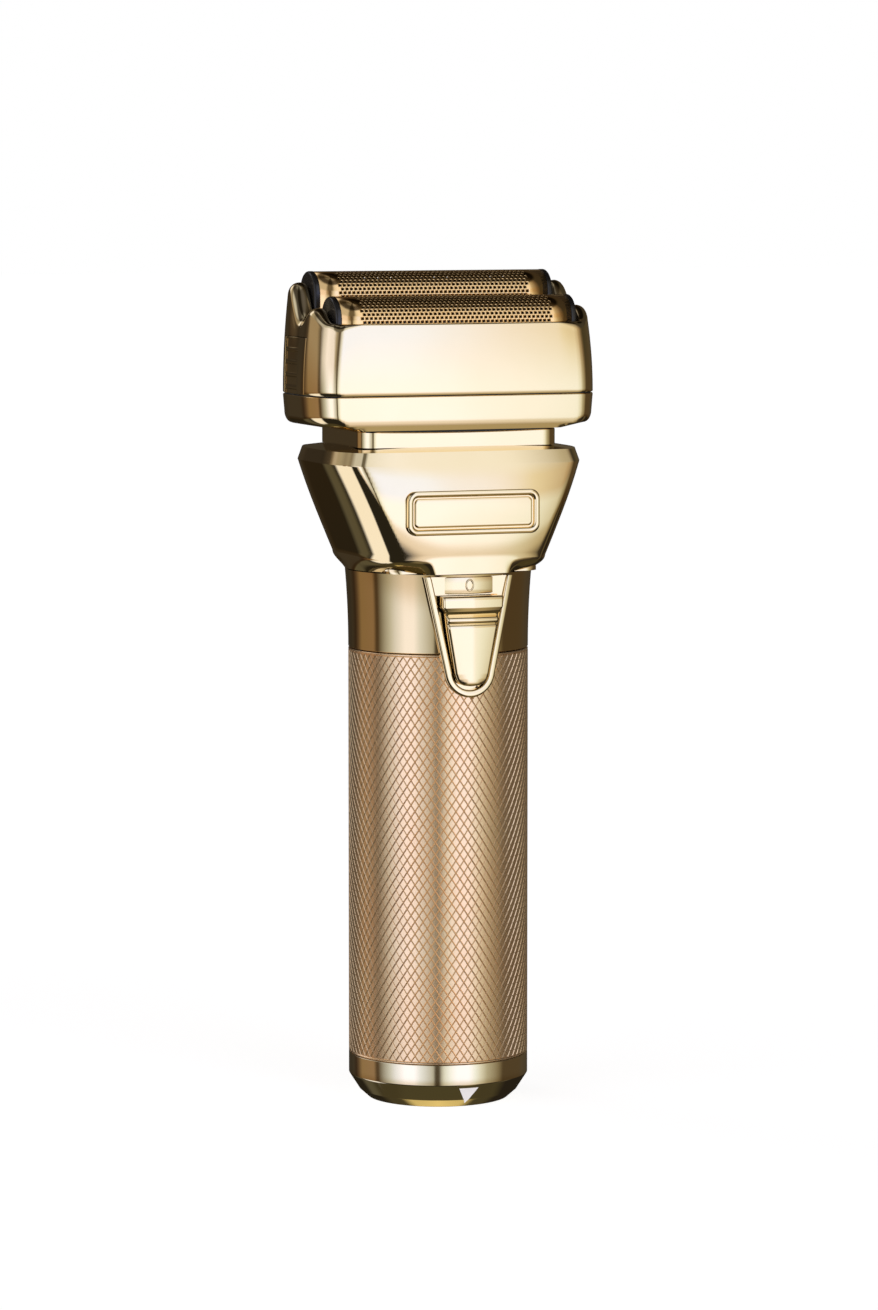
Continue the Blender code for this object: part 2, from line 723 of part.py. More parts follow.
def make_gasket():
    """The seal between the pedestal's spigot and the motor's space."""
    low = 125.6 * MM
    high = 127.2 * MM - GAP
    outer = ring_at(low, 42.0 * MM, 30.0 * MM, 6.0 * MM, 3), ring_at(high, 42.0 * MM, 30.0 * MM, 6.0 * MM, 3)
    inner = ring_at(high, 30.0 * MM, 18.0 * MM, 3.0 * MM, 3), ring_at(low, 30.0 * MM, 18.0 * MM, 3.0 * MM, 3)
    return add_object("head_gasket", lofted([*outer, *inner], closed=True), black_rubber())


def make_guide_rod(name, face):
    bar = rod((-24.2 * MM, face * ROD_Y, ROD_Z), (24.2 * MM, face * ROD_Y, ROD_Z), ROD_RADIUS - GAP / 2, 12)
    return add_object(name, bar, steel())


# Drive bridge and cutters


def foil_place(rear):
    """(y, z) of a foil's arch axis."""
    return ((FOIL_SPACING / 2, FRONT_FOIL_AXIS + REAR_STEP) if rear else (-FOIL_SPACING / 2, FRONT_FOIL_AXIS))


def make_drive_bridge():
    """The carrier that the eccentric shakes along X: a plate on two rods, a yoke below, two posts above."""
    low, high = ROD_Z - 1.5 * MM, ROD_Z + 1.6 * MM
    plate = block((-16 * MM, -11.2 * MM, low), (16 * MM, 11.2 * MM, high), 0.3 * MM)
    bridge = add_object("drive_bridge", plate, grey_plastic())
    yoke = block((-9.0 * MM, -4.5 * MM, 130.0 * MM), (9.0 * MM, 4.5 * MM, low + 0.5 * MM))
    fuse(bridge, add_object("yoke_joined", yoke, None))
    for rear in (False, True):
        y, axis = foil_place(rear)
        post = turned([
            (0.0, high - 0.5 * MM), (3.0 * MM, high - 0.5 * MM), (3.0 * MM, spring_seat(rear)),
            (POST_RADIUS, spring_seat(rear)), (POST_RADIUS, axis - 4.9 * MM), (0.0, axis - 4.9 * MM),
        ], centre=(0.0, y), steps=16)
        fuse(bridge, add_object(f"post_joined_{int(rear)}", post, None))
    half = PIN_OFFSET + STROKE + 1.0 * MM + GAP
    slot = block((-half, -3.2 * MM, 128.0 * MM), (half, 3.2 * MM, PIN_TOP + 0.5 * MM))
    cut(bridge, add_object("yoke_slot_cutter", slot, None))
    for face in (-1, 1):
        bore = rod((-20 * MM, face * ROD_Y, ROD_Z), (20 * MM, face * ROD_Y, ROD_Z), ROD_RADIUS + GAP / 2, 12)
        cut(bridge, add_object(f"bridge_bore_cutter_{face + 1}", bore, None))
    return bridge


def spring_seat(rear):
    return SPRING_SEAT + (REAR_STEP if rear else 0.0)


def make_cutter_spring(name, rear):
    y, axis = foil_place(rear)
    foot = (0.0, y, spring_seat(rear) + 0.1 * MM)
    coil = coil_spring(foot, axis - 7.1 * MM, 2.2 * MM, 0.25 * MM, 3)
    return add_object(name, coil, spring_steel())


def make_cutter(name, rear):
    """A row of arched blades on a spine, with the socket that floats on its post."""
    y, axis = foil_place(rear)
    half = CUTTER_LENGTH / 2
    spine = block((-half, y - 2.6 * MM, axis - 2.4 * MM), (half, y + 2.6 * MM, axis))
    cutter = add_object(name, spine, steel(), (0.0, y, axis))
    pitch = (CUTTER_LENGTH - 0.8 * MM) / (BLADE_COUNT - 1)
    for index in range(BLADE_COUNT):
        middle = -CUTTER_LENGTH / 2 + 0.4 * MM + index * pitch
        blade = arch_plate(middle - 0.4 * MM, middle + 0.4 * MM, y, axis, CUTTER_RADIUS, 1.8 * MM, 8)
        fuse(cutter, add_object(f"{name}_blade_{index}", blade, None))
    socket = block((-4.5 * MM, y - 3.3 * MM, axis - 6.7 * MM), (4.5 * MM, y + 3.3 * MM, axis - 2.0 * MM))
    fuse(cutter, add_object(f"{name}_socket", socket, None))
    well = rod((0, y, axis - 8 * MM), (0, y, axis - 3.2 * MM), POST_RADIUS + GAP, 16)
    return cut(cutter, add_object(f"{name}_well_cutter", well, None))


def arch_plate(low_x, high_x, y, axis, radius, drop, steps):
    """A plate across X whose outline is a half circle standing on straight sides of the given drop."""
    outline = [(y + radius, axis - drop), (y + radius, axis)]
    for step in range(1, steps):
        angle = math.pi * step / steps
        outline.append((y + radius * math.cos(angle), axis + radius * math.sin(angle)))
    outline += [(y - radius, axis), (y - radius, axis - drop)]
    return lofted([[(x, py, pz) for py, pz in outline] for x in (low_x, high_x)])


# Foils

def make_foil(name, rear):
    """The thin arched sheet with straight skirts."""
    y, axis = foil_place(rear)
    half = FOIL_LENGTH / 2 - GAP
    arch = arch_plate(-half, half, y, axis, FOIL_RADIUS, FOIL_SKIRT, 16)
    foil = add_object(name, arch, foil_gold(), (0, y, axis))
    inner = FOIL_RADIUS - FOIL_THICKNESS
    hollow = arch_plate(-half - MM, half + MM, y, axis, inner, FOIL_SKIRT + MM, 16)
    return cut(foil, add_object(f"{name}_hollow_cutter", hollow, None))


def make_foil_frame(name, rear):
    """Black frame: an arched plate at each end of the foil and two rails under the skirts."""
    y, axis = foil_place(rear)
    low = axis - FOIL_SKIRT - GAP - 2.2 * MM
    rail_top = axis - FOIL_SKIRT - GAP
    radius = FOIL_RADIUS + 0.05 * MM
    end = FRAME_LENGTH / 2
    frame = arch_plate(-end, -FOIL_LENGTH / 2, y, axis, radius, axis - low, 16)
    frame = add_object(name, frame, black_plastic(), (0, y, axis))
    other = arch_plate(FOIL_LENGTH / 2, end, y, axis, radius, axis - low, 16)
    fuse(frame, add_object(f"{name}_far_end", other, None))
    for side in (-1, 1):
        outer, inner = y + side * radius, y + side * (CUTTER_RADIUS + 0.25 * MM)
        rail = block((-end + MM, min(outer, inner), low), (end - MM, max(outer, inner), rail_top))
        fuse(frame, add_object(f"{name}_rail_{side + 1}", rail, None))
    return frame


# Foil cap

def rim_height(y):
    """Height of the cap's rim along Y: a low front wall, the front ears, a dip, the rear ears, the back."""
    knots = [(-13.5, 153.7), (-10.6, 155.8), (-6.4, 156.9), (-2.2, 155.6), (0.0, 154.4), (2.2, 157.0),
             (6.4, 161.6), (10.6, 160.8), (13.5, 158.6)]
    at = y / MM
    for (low_y, low_z), (high_y, high_z) in zip(knots, knots[1:]):
        if at <= high_y:
            share = max(0.0, (at - low_y) / (high_y - low_y))
            return (low_z + (high_z - low_z) * share) * MM
    return knots[-1][1] * MM


def cap_outline(width, depth, corner, steps=10):
    """The cap's plan, with its points spread over the depth of both ends, so the rim can rise and fall."""
    along_x, along_y = corner
    points = []
    for side in (1, -1):
        for step in range(steps + 1):
            share = -math.cos(math.pi * step / steps) * side
            beyond = max(0.0, abs(share) * depth / 2 - (depth / 2 - along_y)) / along_y
            drop = along_x * (1.0 - math.sqrt(max(0.0, 1.0 - beyond ** 2)))
            points.append((side * (width / 2 - drop), share * depth / 2))
    return points


def cap_wall_outline(inset):
    """The plan of the cap's wall, drawn in by an inset at its ends and about half that at front and back."""
    return cap_outline(HEAD_WIDTH - 1.8 * inset, HEAD_DEPTH - 0.9 * inset, shrunk(HEAD_CORNER, 0.3 * inset))


def make_foil_cap():
    """The shell over the foils: walls that taper upwards and a rim that follows the ears."""
    foot = SEAM + GAP / 2
    rings = []
    for height, inset in ((foot, 0.0), (145.5 * MM, 0.3 * MM), (CAP_SHOULDER, 0.9 * MM)):
        rings.append([(x, y, height) for x, y in cap_wall_outline(inset)])
    shoulder = cap_wall_outline(0.9 * MM)
    window = cap_outline(WINDOW_WIDTH, WINDOW_DEPTH, (WINDOW_CORNER, WINDOW_CORNER))
    for rise, inwards in ((0.45, 0.12), (0.85, 0.35), (1.0, 0.7)):
        rings.append([(x + (window_x - x) * inwards, y + (window_y - y) * inwards,
                       CAP_SHOULDER + (rim_height(y) - CAP_SHOULDER) * rise)
                      for (x, y), (window_x, window_y) in zip(shoulder, window)])
    rings.append([(x, y, rim_height(y)) for x, y in window])
    rings.append([(x, y, foot) for x, y in window])
    cap = add_object("foil_cap", lofted(rings, closed=True), champagne_gold())
    bar_end = WINDOW_WIDTH / 2 + MM
    bar = block((-bar_end, -1.5 * MM, 151.7 * MM), (bar_end, 1.5 * MM, 153.2 * MM))
    fuse(cap, add_object("cap_bar_joined", bar, None))
    for side in (-1, 1):
        near, far = side * 24.0 * MM, side * 33.0 * MM
        hole = block((min(near, far), -BUTTON_HALF - GAP, foot - MM),
                     (max(near, far), BUTTON_HALF + GAP, BUTTON_TOP + GAP))
        cut(cap, add_object(f"button_hole_cutter_{side + 1}", hole, None))
    return cap


def make_release_button(name, side):
    """The ribbed pad low on an end of the cap; it is pressed inwards to free the cap."""
    foot = SEAM + GAP / 2
    rings = []
    steps = 2 * RIB_COUNT
    profile = [(27.0 * MM, foot)]
    for step in range(steps + 1):
        share = step / steps
        height = foot + (BUTTON_TOP - foot) * share
        face = HEAD_WIDTH / 2 - 0.2 * MM - 0.9 * MM * share
        profile.append((face - (0.45 * MM if step % 2 == 0 else 0.0), height))
    profile.append((27.0 * MM, BUTTON_TOP))
    for y in (-BUTTON_HALF, BUTTON_HALF):
        rings.append([(side * x, y, z) for x, z in profile])
    return add_object(name, lofted(rings), champagne_gold(), (side * HEAD_WIDTH / 2, 0.0, 145.0 * MM))


def make_button_spring(name, side):
    """Leaf spring behind a release button, between the button and the foils' frames."""
    near, far = side * 25.5 * MM, side * 25.95 * MM
    leaf = block((min(near, far), -2.5 * MM, 141.0 * MM), (max(near, far), 2.5 * MM, 149.5 * MM))
    return add_object(name, leaf, spring_steel())


def build():
    clear_scene()
    make_base_ring()
    make_charge_light_lens()
    make_base_cap()
    make_charging_socket()
    make_charging_contact("charging_contact_left", -1)
    make_charging_contact("charging_contact_right", 1)
    make_base_board()
    make_o_ring()
    make_grip_sleeve()
    make_collar()
    make_chassis()
    make_battery()
    spring_foot = BASE_BOARD + BOARD_THICKNESS + 0.1 * MM
    make_battery_contact("battery_spring_lower", spring_foot, BATTERY_BOTTOM - 0.1 * MM)
    make_battery_contact("battery_spring_upper", 78.3 * MM, 81.4 * MM)
    make_control_board()
    make_switch_body()
    make_switch_bezel()
    make_switch_slider()
    make_motor_can()
    make_motor_plate()
    make_motor_screw("motor_screw_left", -1)
    make_motor_screw("motor_screw_right", 1)
    make_motor_rotor()
    make_neck_shell()
    make_badge()
    make_gasket()
    make_head_base()
    make_guide_rod("guide_rod_front", -1)
    make_guide_rod("guide_rod_rear", 1)
    make_drive_bridge()
    for place, rear in (("front", False), ("rear", True)):
        make_cutter(f"cutter_{place}", rear)
        make_cutter_spring(f"cutter_spring_{place}", rear)
        make_foil(f"foil_{place}", rear)
        make_foil_frame(f"foil_frame_{place}", rear)
    make_foil_cap()
    for place, side in (("left", -1), ("right", 1)):
        make_release_button(f"release_button_{place}", side)
        make_button_spring(f"button_spring_{place}", side)


build()
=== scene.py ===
"""Looks of the double-foil shaver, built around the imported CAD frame. Metres, +Z up, front towards -Y."""

import math

import bmesh
import bpy
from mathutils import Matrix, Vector

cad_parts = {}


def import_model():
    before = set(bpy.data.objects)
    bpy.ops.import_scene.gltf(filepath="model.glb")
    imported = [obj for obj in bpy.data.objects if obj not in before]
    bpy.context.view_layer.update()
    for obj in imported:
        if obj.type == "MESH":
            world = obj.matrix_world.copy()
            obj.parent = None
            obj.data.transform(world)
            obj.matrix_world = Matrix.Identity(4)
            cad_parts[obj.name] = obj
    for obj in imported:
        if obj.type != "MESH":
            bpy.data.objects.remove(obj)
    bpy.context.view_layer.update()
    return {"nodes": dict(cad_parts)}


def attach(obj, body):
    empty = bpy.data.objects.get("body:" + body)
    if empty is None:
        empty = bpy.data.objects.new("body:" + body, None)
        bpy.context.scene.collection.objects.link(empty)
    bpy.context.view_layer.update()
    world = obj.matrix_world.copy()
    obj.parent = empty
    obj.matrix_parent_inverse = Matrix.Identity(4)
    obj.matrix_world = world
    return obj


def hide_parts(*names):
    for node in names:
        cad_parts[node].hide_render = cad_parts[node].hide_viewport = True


MM = 0.001
TAU = 2.0 * math.pi

# Base ring, grip and collar, from the floor upwards
BARREL_RADIUS = 17.75 * MM
BARREL_BORE = 15.6 * MM
FOOT_RADIUS = 13.9 * MM
FOOT_BORE = 11.8 * MM
FACET_RADIUS = FOOT_RADIUS + 1.8 * MM
FACET_TOP = 1.6 * MM
CHAMFER_TOP = 4.8 * MM
BASE_TOP = 8.95 * MM
RING_BORE = 15.4 * MM
RING_FLOOR = 5.3 * MM
GRIP_LOW = 9.05 * MM
GRIP_HIGH = 89.62 * MM
COLLAR_LOW = 89.82 * MM
COLLAR_HIGH = 105.3 * MM
COLLAR_RADIUS = 18.4 * MM

# Charge mark: a triangle, point down
MARK_HIGH = 4.2 * MM
MARK_LOW = 0.8 * MM
MARK_HALF = 2.0 * MM

# Knurl: pads around, half pitches along, grooves, and the plain band at each end
KNURL_AROUND = 69
KNURL_ROWS = 66
KNURL_DEPTH = 0.15 * MM
GROOVE_HALF = 0.08 * MM
GRIP_BAND = 0.45 * MM
GRIP_RECESS = -15.9 * MM

# Neck
NECK_FOOT = 105.5 * MM
NECK_FOOT_RADIUS = 18.5 * MM
NECK_EDGE = 108.4 * MM
NECK_EDGE_HALF = 18.7 * MM
NECK_WIDEST = 126.7 * MM
NECK_HALF_WIDTH = 26.2 * MM
NECK_HALF_DEPTH = 19.3 * MM
NECK_CROWN = 1.3 * MM
NECK_SHOULDER = 129.2 * MM
NECK_TOP = 130.0 * MM

# Badge
BADGE_HALF_WIDTH = 13.65 * MM
BADGE_HALF_HEIGHT = 4.3 * MM
BADGE_MIDDLE = 117.5 * MM
BADGE_SEAT = -19.2 * MM

# Head: the pedestal, the tray on it, and the seam under the cap
SPIGOT_LOW = 128.0 * MM
PEDESTAL_LOW = 129.9 * MM
PEDESTAL_HIGH = 132.9 * MM
PEDESTAL_HALF = 20.5 * MM
PEDESTAL_HALF_DEPTH = 13.3 * MM
PEDESTAL_CORNER = 3.4 * MM
PEDESTAL_SAG = 0.32 * MM
HEAD_LOW = 133.2 * MM
TRAY_FLOOR = 135.6 * MM
TRAY_SLOPE = 7.0 * MM
TRAY_RISE = 0.9 * MM
TRAY_ROUND = 1.8 * MM
TRAY_SIDE = 0.3 * MM
TRAY_CORNER = 2.3 * MM
TRAY_TUCK = 0.3 * MM
SEAM = 139.9 * MM
SEAM_HALF = 0.14 * MM
HEAD_HALF_WIDTH = 30.0 * MM
HEAD_HALF_DEPTH = 13.5 * MM
HEAD_CORNER_X = 5.2 * MM
HEAD_CORNER_Y = 10.0 * MM
HEAD_CROWN = 0.5 * MM

# Cap: its foot, how far its walls lean in, and its rim as (y, height) and (x, rounding) in millimetres
CAP_FOOT = SEAM + SEAM_HALF
CAP_LEAN_X = 0.032
CAP_LEAN_Y = 0.035
WINDOW_HALF_WIDTH = 25.3 * MM
WINDOW_HALF_DEPTH = 11.25 * MM
RIM_KNOTS = [(-13.5, 153.8), (-12.4, 153.9), (-6.4, 156.9), (-0.6, 154.4), (6.4, 161.5), (13.0, 158.8),
             (13.5, 158.6)]
RIM_ROUND = [(20.0, 0.35), (26.5, 2.1)]

# Press pads
PAD_HALF = 5.8 * MM
PAD_TOP = 151.2 * MM
PAD_BACK = 27.2 * MM
RIB_PITCH = 2.45 * MM
RIB_HALF = 0.4 * MM

# Foils
FOIL_Y = 6.35 * MM
FOIL_RADIUS = 4.5 * MM
FOIL_SHEET = 0.12 * MM
FOIL_SKIRT = 4.6 * MM
FOIL_HALF_LENGTH = 23.9 * MM
FRAME_HALF_LENGTH = 25.0 * MM
FOIL_AXIS_FRONT = 154.5 * MM
FOIL_AXIS_REAR = 159.1 * MM
HOLE_PITCH = 0.91 * MM
HOLE_ROW = 0.79 * MM
HOLE_RADIUS = 0.27 * MM
HOLE_COLUMNS = 44
HOLE_ROWS = 22
SKIRT_ROWS = 3

# Switch
BEZEL_TOP = 104.9 * MM
BEZEL_LOW = 81.3 * MM
BEZEL_HALF = 9.3 * MM
BEZEL_ROUND = 5.2 * MM
BEZEL_FRONT = -18.5 * MM
BEZEL_BOW = 36.0 * MM
BEZEL_RIM = 1.45 * MM
BEZEL_DEEP = 3.4 * MM
WELL_FLOOR = -17.0 * MM
BAND_FRONT = -17.55 * MM
BAND_LOW = 101.5 * MM
BAND_HIGH = 104.85 * MM
BAND_HALF = 7.4 * MM
NOUGHT_MIDDLE = 103.2 * MM
SLIDER_BACK = -17.85 * MM

# Camera: its angles round from the front and down, its distance and its aim
VIEW_AROUND = math.radians(20.5)
VIEW_DOWN = math.radians(5.8)
VIEW_DISTANCE = 1.0
VIEW_TARGET = Vector((0.0002, 0.0, 0.0879))
LENS = 139.05
SENSOR = 36.0


# Mesh helpers

def shares(steps):
    """Even shares from 0 to 1."""
    return [step / steps for step in range(steps + 1)]


def turns(steps):
    """The angles of even steps round a circle."""
    return [TAU * step / steps for step in range(steps)]


def new_object(name, data):
    """An object in the scene for some data."""
    obj = bpy.data.objects.new(name, data)
    bpy.context.scene.collection.objects.link(obj)
    return obj


def shell_mesh(name, points, faces):
    """A mesh whose faces all look outwards."""
    bm = bmesh.new()
    verts = [bm.verts.new(point) for point in points]
    for face in faces:
        bm.faces.new([verts[index] for index in face])
    bmesh.ops.remove_doubles(bm, verts=bm.verts, dist=1e-7)
    bmesh.ops.recalc_face_normals(bm, faces=bm.faces)
    mesh = bpy.data.meshes.new(name)
    bm.to_mesh(mesh)
    bm.free()
    return mesh


def piece(name, points, faces, material, body, replaced=(), slot="polished_gold", crease=35.0):
    """A smooth-shaded mesh object that rides on a body and stands for CAD nodes."""
    mesh = shell_mesh(name, points, faces)
    mesh.materials.append(material)
    obj = new_object(name, mesh)
    smooth(obj, crease)
    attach(obj, body)
    for node in replaced:
        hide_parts(node)
    return obj


def smooth(obj, crease=35.0):
    """Shades a mesh smooth, with edges over the crease angle kept sharp."""
    obj.data.shade_smooth()
    obj.data.set_sharp_from_angle(angle=math.radians(crease))


def loft(rings, along=False):
    """Points and faces of a skin through equal rings, with capped ends or, if along, joined ones."""
    count = len(rings[0])
    points = [point for ring in rings for point in ring]
    faces = []
    for row in range(len(rings) if along else len(rings) - 1):
        low = row * count
        high = (row + 1) % len(rings) * count
        for at in range(count):
            nxt = (at + 1) % count
            faces.append((low + at, low + nxt, high + nxt, high + at))
    if not along:
        faces.append(tuple(range(count)))
        faces.append(tuple(len(points) - count + at for at in range(count)))
    return points, faces


def merged(*shells):
    """One point and face list from several."""
    points, faces = [], []
    for shell_points, shell_faces in shells:
        start = len(points)
        points += shell_points
        faces += [tuple(index + start for index in face) for face in shell_faces]
    return points, faces


def rounded_path(corners, steps=6):
    """A closed polyline through corners (x, y, radius) with an arc at each."""
    path = []
    count = len(corners)
    for at, (x, y, radius) in enumerate(corners):
        if radius <= 0.0:
            path.append((x, y))
            continue
        here = Vector((x, y))
        before = Vector(corners[at - 1][:2]) - here
        after = Vector(corners[(at + 1) % count][:2]) - here
        run = min(before.length, after.length) * 0.49
        before.normalize()
        after.normalize()
        half = before.angle(after) / 2.0
        tangent = min(radius / math.tan(half), run)
        centre = here + (before + after).normalized() * tangent / math.cos(half)
        first = here + before * tangent - centre
        last = here + after * tangent - centre
        turn = first.angle_signed(last)
        for share in shares(steps):
            angle = -turn * share
            cos, sin = math.cos(angle), math.sin(angle)
            path.append((centre.x + first.x * cos - first.y * sin, centre.y + first.x * sin + first.y * cos))
    return path


def turned(profile, steps=192):
    """A closed (radius, height) loop turned round Z."""
    rings = [[(r * math.cos(angle), r * math.sin(angle), z) for r, z in profile] for angle in turns(steps)]
    return loft(rings, along=True)


def blend_step(low, high, value):
    """0 up to low and 1 from high, with a smooth rise between."""
    share = min(1.0, max(0.0, (value - low) / (high - low)))
    return share * share * (3.0 - 2.0 * share)


def straight_step(low, high, value):
    return (value - low) / (high - low)


def through_knots(knots, at, rise=straight_step):
    """The value at a place, from (place, value) pairs with the given rise between them."""
    if at <= knots[0][0]:
        return knots[0][1]
    for (low, low_value), (high, high_value) in zip(knots, knots[1:]):
        if at <= high:
            return low_value + (high_value - low_value) * rise(low, high, at)
    return knots[-1][1]


def rounded_reach(angle, half_width, half_depth, corner_x, corner_y):
    """Distance from the centre to a rounded rectangle whose corners are quarter ellipses."""
    across, deep = abs(math.cos(angle)), abs(math.sin(angle))
    if across > 1e-9:
        reach = half_width / across
        if reach * deep <= half_depth - corner_y:
            return reach
    if deep > 1e-9:
        reach = half_depth / deep
        if reach * across <= half_width - corner_x:
            return reach
    centre_x, centre_y = half_width - corner_x, half_depth - corner_y
    a = (across / corner_x) ** 2 + (deep / corner_y) ** 2
    b = across * centre_x / corner_x ** 2 + deep * centre_y / corner_y ** 2
    c = (centre_x / corner_x) ** 2 + (centre_y / corner_y) ** 2 - 1.0
    return (b + math.sqrt(max(0.0, b * b - a * c))) / a


def cut_away(obj, shell):
    """Cuts a closed shell out of an object, at once."""
    cutter = new_object("cutter", shell_mesh("cutter", *shell))
    modifier = obj.modifiers.new("cut", "BOOLEAN")
    modifier.operation = "DIFFERENCE"
    modifier.solver = "EXACT"
    modifier.object = cutter
    graph = bpy.context.evaluated_depsgraph_get()
    result = bpy.data.meshes.new_from_object(obj.evaluated_get(graph))
    obj.modifiers.clear()
    obj.data = result
    bpy.data.objects.remove(cutter)
    smooth(obj)


def block(xs, ys, zs):
    """The closed shell of a box from a (low, high) pair on each axis."""
    return loft([[(x, ys[0], zs[0]), (x, ys[1], zs[0]), (x, ys[1], zs[1]), (x, ys[0], zs[1])] for x in xs])


# Materials

def new_material(name):
    mat = bpy.data.materials.new(name)
    mat.use_nodes = True
    nodes, links = mat.node_tree.nodes, mat.node_tree.links
    return mat, nodes, links, nodes["Principled BSDF"]


def noise(nodes, links, scale, detail, stretch=(1.0, 1.0, 1.0)):
    """Noise over the object's own coordinates."""
    coordinates = nodes.new("ShaderNodeTexCoord")
    mapping = nodes.new("ShaderNodeMapping")
    mapping.inputs["Scale"].default_value = stretch
    texture = nodes.new("ShaderNodeTexNoise")
    texture.inputs["Scale"].default_value = scale
    texture.inputs["Detail"].default_value = detail
    links.new(coordinates.outputs["Object"], mapping.inputs["Vector"])
    links.new(mapping.outputs["Vector"], texture.inputs["Vector"])
    return texture.outputs["Fac"]


def ramp(nodes, links, source, stops):
    """A colour ramp with (place, colour) stops."""
    node = nodes.new("ShaderNodeValToRGB")
    while len(node.color_ramp.elements) < len(stops):
        node.color_ramp.elements.new(0.5)
    for element, (place, colour) in zip(node.color_ramp.elements, stops):
        element.position = place
    for element, (place, colour) in zip(node.color_ramp.elements, stops):
        element.color = (*colour, 1.0)
    links.new(source, node.inputs["Fac"])
    return node.outputs["Color"]


def surface(name, low, high, rough, metallic, scale=40.0, stretch=(1.0, 1.0, 1.0), bump=0.2,
            bump_scale=900.0):
    """A finish whose colour drifts between low and high, with a drifting roughness and a fine relief."""
    mat, nodes, links, shader = new_material(name)
    drift = noise(nodes, links, scale, 4.0, stretch)
    links.new(ramp(nodes, links, drift, [(0.3, low), (0.7, high)]), shader.inputs["Base Color"])
    spread = nodes.new("ShaderNodeMapRange")
    spread.inputs["To Min"].default_value = rough[0]
    spread.inputs["To Max"].default_value = rough[1]
    links.new(noise(nodes, links, scale * 6.0, 6.0, stretch), spread.inputs["Value"])
    links.new(spread.outputs["Result"], shader.inputs["Roughness"])
    shader.inputs["Metallic"].default_value = metallic
    relief = nodes.new("ShaderNodeBump")
    relief.inputs["Strength"].default_value = bump
    relief.inputs["Distance"].default_value = 0.02 * MM
    links.new(noise(nodes, links, bump_scale, 3.0, stretch), relief.inputs["Height"])
    links.new(relief.outputs["Normal"], shader.inputs["Normal"])
    return mat


def make_polished(name, low, high, rough=(0.05, 0.09)):
    """A plated finish: bright metal with a barely visible ripple."""
    return surface(name, low, high, rough, 1.0, bump=0.05, bump_scale=300.0)


def make_grip_rose():
    return surface("grip_rose", (1.0, 0.7, 0.42), (1.0, 0.75, 0.47), (0.18, 0.25), 0.9, scale=60.0, bump=0.15,
                   bump_scale=4000.0)


def make_foil_gold():
    return surface("foil_gold", (0.96, 0.62, 0.26), (1.0, 0.69, 0.32), (0.08, 0.13), 1.0,
                   stretch=(1.0, 8.0, 8.0), bump=0.06, bump_scale=1500.0)


def make_black_plastic():
    return surface("black_plastic", (0.012, 0.011, 0.010), (0.022, 0.02, 0.018), (0.2, 0.32), 0.0,
                   bump_scale=2500.0)


def make_grey_plastic():
    return surface("grey_plastic", (0.20, 0.20, 0.21), (0.27, 0.27, 0.28), (0.4, 0.55), 0.0, bump=0.4,
                   bump_scale=3000.0)


def make_steel():
    return surface("steel", (0.52, 0.53, 0.55), (0.63, 0.63, 0.64), (0.22, 0.36), 1.0,
                   stretch=(1.0, 1.0, 12.0))


# Painted shade: steel darkened so that the foils' cells over the cutters read black
def make_steel_darkened_for_shade():
    return surface("steel_darkened_for_shade", (0.05, 0.045, 0.04), (0.10, 0.09, 0.08), (0.3, 0.45), 1.0)


def make_board_green():
    return surface("board", (0.02, 0.15, 0.06), (0.03, 0.21, 0.09), (0.35, 0.5), 0.0, bump=0.3)


def make_battery_wrap():
    return surface("wrap", (0.04, 0.13, 0.31), (0.06, 0.18, 0.38), (0.3, 0.4), 0.0, bump=0.1)


def make_rubber():
    return surface("rubber", (0.02, 0.02, 0.02), (0.035, 0.035, 0.035), (0.6, 0.75), 0.0, bump=0.5)


def make_pale_lens():
    return surface("mark", (0.82, 0.76, 0.75), (0.9, 0.86, 0.85), (0.3, 0.45), 0.0)


def make_contact_gold():
    return surface("contact", (0.85, 0.62, 0.25), (0.92, 0.7, 0.33), (0.15, 0.25), 1.0, bump=0.1)


def make_materials():
    return {
        "head_gold": make_polished("head_gold", (0.94, 0.76, 0.44), (0.97, 0.80, 0.49)),
        "ring_gold": make_polished("ring_gold", (0.93, 0.80, 0.55), (0.96, 0.84, 0.59), (0.06, 0.1)),
        # Painted shade: the collar's own deeper gold, darkened further for the dimmer light it reflects
        "shaded_collar_gold": make_polished("shaded_collar_gold", (0.80, 0.63, 0.35), (0.84, 0.67, 0.39)),
        "grip_rose": make_grip_rose(),
        "foil_gold": make_foil_gold(),
        "black_plastic": make_black_plastic(),
        "grey_plastic": make_grey_plastic(),
        "steel": make_steel(),
        "steel_darkened_for_shade": make_steel_darkened_for_shade(),
        "board": make_board_green(),
        "wrap": make_battery_wrap(),
        "rubber": make_rubber(),
        "mark": make_pale_lens(),
        "contact": make_contact_gold(),
    }


# Base ring, grip and collar

def make_base_ring(mat):
    profile = rounded_path([
        (FOOT_BORE, 0.0, 0.2 * MM), (FOOT_RADIUS, 0.0, 0.3 * MM), (FACET_RADIUS, FACET_TOP, 0.4 * MM),
        (BARREL_RADIUS, CHAMFER_TOP, 0.5 * MM), (BARREL_RADIUS, BASE_TOP, 0.15 * MM),
        (RING_BORE, BASE_TOP, 0.0), (RING_BORE, RING_FLOOR, 0.0), (FOOT_BORE, RING_FLOOR, 0.0),
    ])
    return piece("base_ring_shell", *turned(profile), mat["ring_gold"], "handle", ["base_ring"], "pale_gold")


